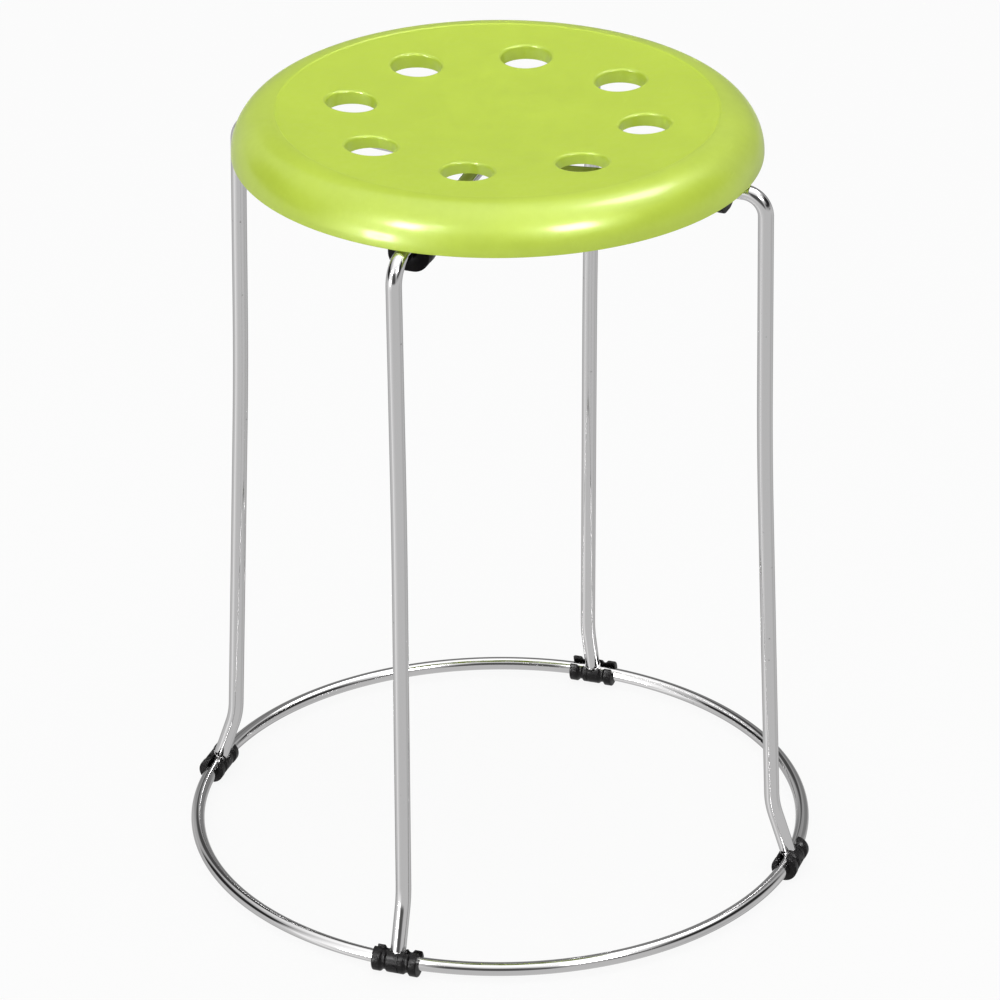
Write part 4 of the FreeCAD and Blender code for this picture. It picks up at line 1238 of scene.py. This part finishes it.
def studio_world(studio):
    """Even light all round. The camera sees white, and gloss sees the studio's cards."""
    world = bpy.data.worlds.new("Studio")
    bpy.context.scene.world = world
    world.use_nodes = True
    tree = world.node_tree
    back = tree.nodes["Background"]
    way = tree.nodes.new("ShaderNodeTexCoord").outputs["Generated"]
    rays = tree.nodes.new("ShaderNodeLightPath")
    level = mix_value(
        tree, rays.outputs["Is Glossy Ray"], studio.room_light,
        studio_gloss(tree, way, studio.camera_azimuth))
    seen = maths(tree, "MAXIMUM", rays.outputs["Is Camera Ray"], rays.outputs["Is Transmission Ray"])
    tree.links.new(mix_value(tree, seen, level, 1.0), back.inputs["Strength"])
    back.inputs["Color"].default_value = WHITE


def set_camera(studio):
    """The photograph's viewing angle."""
    focus = Vector(studio.camera_focus)
    back = (around_camera(studio, 0.0, studio.camera_elevation, 1.0) - focus).normalized()
    level = Vector(UPRIGHT).cross(back).normalized()
    upward = back.cross(level)
    roll = math.radians(studio.camera_roll)
    right = level * math.cos(roll) + upward * math.sin(roll)
    top = back.cross(right)
    camera = bpy.data.objects.new("camera", bpy.data.cameras.new("camera"))
    bpy.context.scene.collection.objects.link(camera)
    camera.data.lens = studio.camera_lens
    camera.data.sensor_width = 36.0
    camera.data.clip_end = 100.0
    turn = Matrix((right, top, back)).transposed().to_4x4()
    camera.matrix_world = Matrix.Translation(focus + back * studio.camera_distance) @ turn
    bpy.context.scene.camera = camera


class OBJECT_OT_stool_stage(bpy.types.Operator):
    """Sets up the floor, the lights and the camera"""
    bl_idname = "object.stool_stage"
    bl_label = "Set Stage"

    def execute(self, context):
        studio = context.scene.stool_studio
        context.scene.view_settings.view_transform = "Standard"
        bm = bmesh.new()
        bmesh.ops.create_grid(bm, x_segments=1, y_segments=1, size=studio.floor_size / 2)
        mesh = bpy.data.meshes.new("floor")
        bm.to_mesh(mesh)
        bm.free()
        mesh.materials.append(floor_material(studio))
        floor = bpy.data.objects.new("floor", mesh)
        context.scene.collection.objects.link(floor)
        studio_world(studio)
        floor.visible_glossy = False
        for softbox in SOFTBOXES:
            add_softbox(studio, softbox)
        set_camera(studio)
        return {"FINISHED"}


# Panel and registration

class VIEW3D_PT_wire_stool(bpy.types.Panel):
    bl_idname = "VIEW3D_PT_wire_stool"
    bl_label = "Wire Stool"
    bl_space_type = "VIEW_3D"
    bl_region_type = "UI"
    bl_category = "Wire Stool"

    def draw(self, context):
        for operator in OPERATORS:
            self.layout.operator(operator.bl_idname)
        for name in SETTINGS:
            box = self.layout.box()
            settings = getattr(context.scene, name)
            for key in settings.__annotations__:
                box.prop(settings, key)


SETTINGS = {
    "stool_seat": StoolSeatSettings,
    "stool_wires": StoolWireSettings,
    "stool_hardware": StoolHardwareSettings,
    "stool_studio": StoolStudioSettings,
}

OPERATORS = (
    OBJECT_OT_stool_seat,
    OBJECT_OT_stool_leg_wires,
    OBJECT_OT_stool_base_ring,
    OBJECT_OT_stool_foot_clips,
    OBJECT_OT_stool_saddles,
    OBJECT_OT_stool_welds_and_screws,
    OBJECT_OT_stool_stage,
)

CLASSES = (*SETTINGS.values(), *OPERATORS, VIEW3D_PT_wire_stool)


def register():
    for item in CLASSES:
        bpy.utils.register_class(item)
    for name, kind in SETTINGS.items():
        setattr(bpy.types.Scene, name, PointerProperty(type=kind))


def unregister():
    for name in SETTINGS:
        delattr(bpy.types.Scene, name)
    for item in reversed(CLASSES):
        bpy.utils.unregister_class(item)


def main():
    register()
    bpy.ops.object.stool_seat()
    bpy.ops.object.stool_leg_wires()
    bpy.ops.object.stool_base_ring()
    bpy.ops.object.stool_foot_clips()
    bpy.ops.object.stool_saddles()
    bpy.ops.object.stool_welds_and_screws()
    bpy.ops.object.stool_stage()


if __name__ == "__main__":
    main()
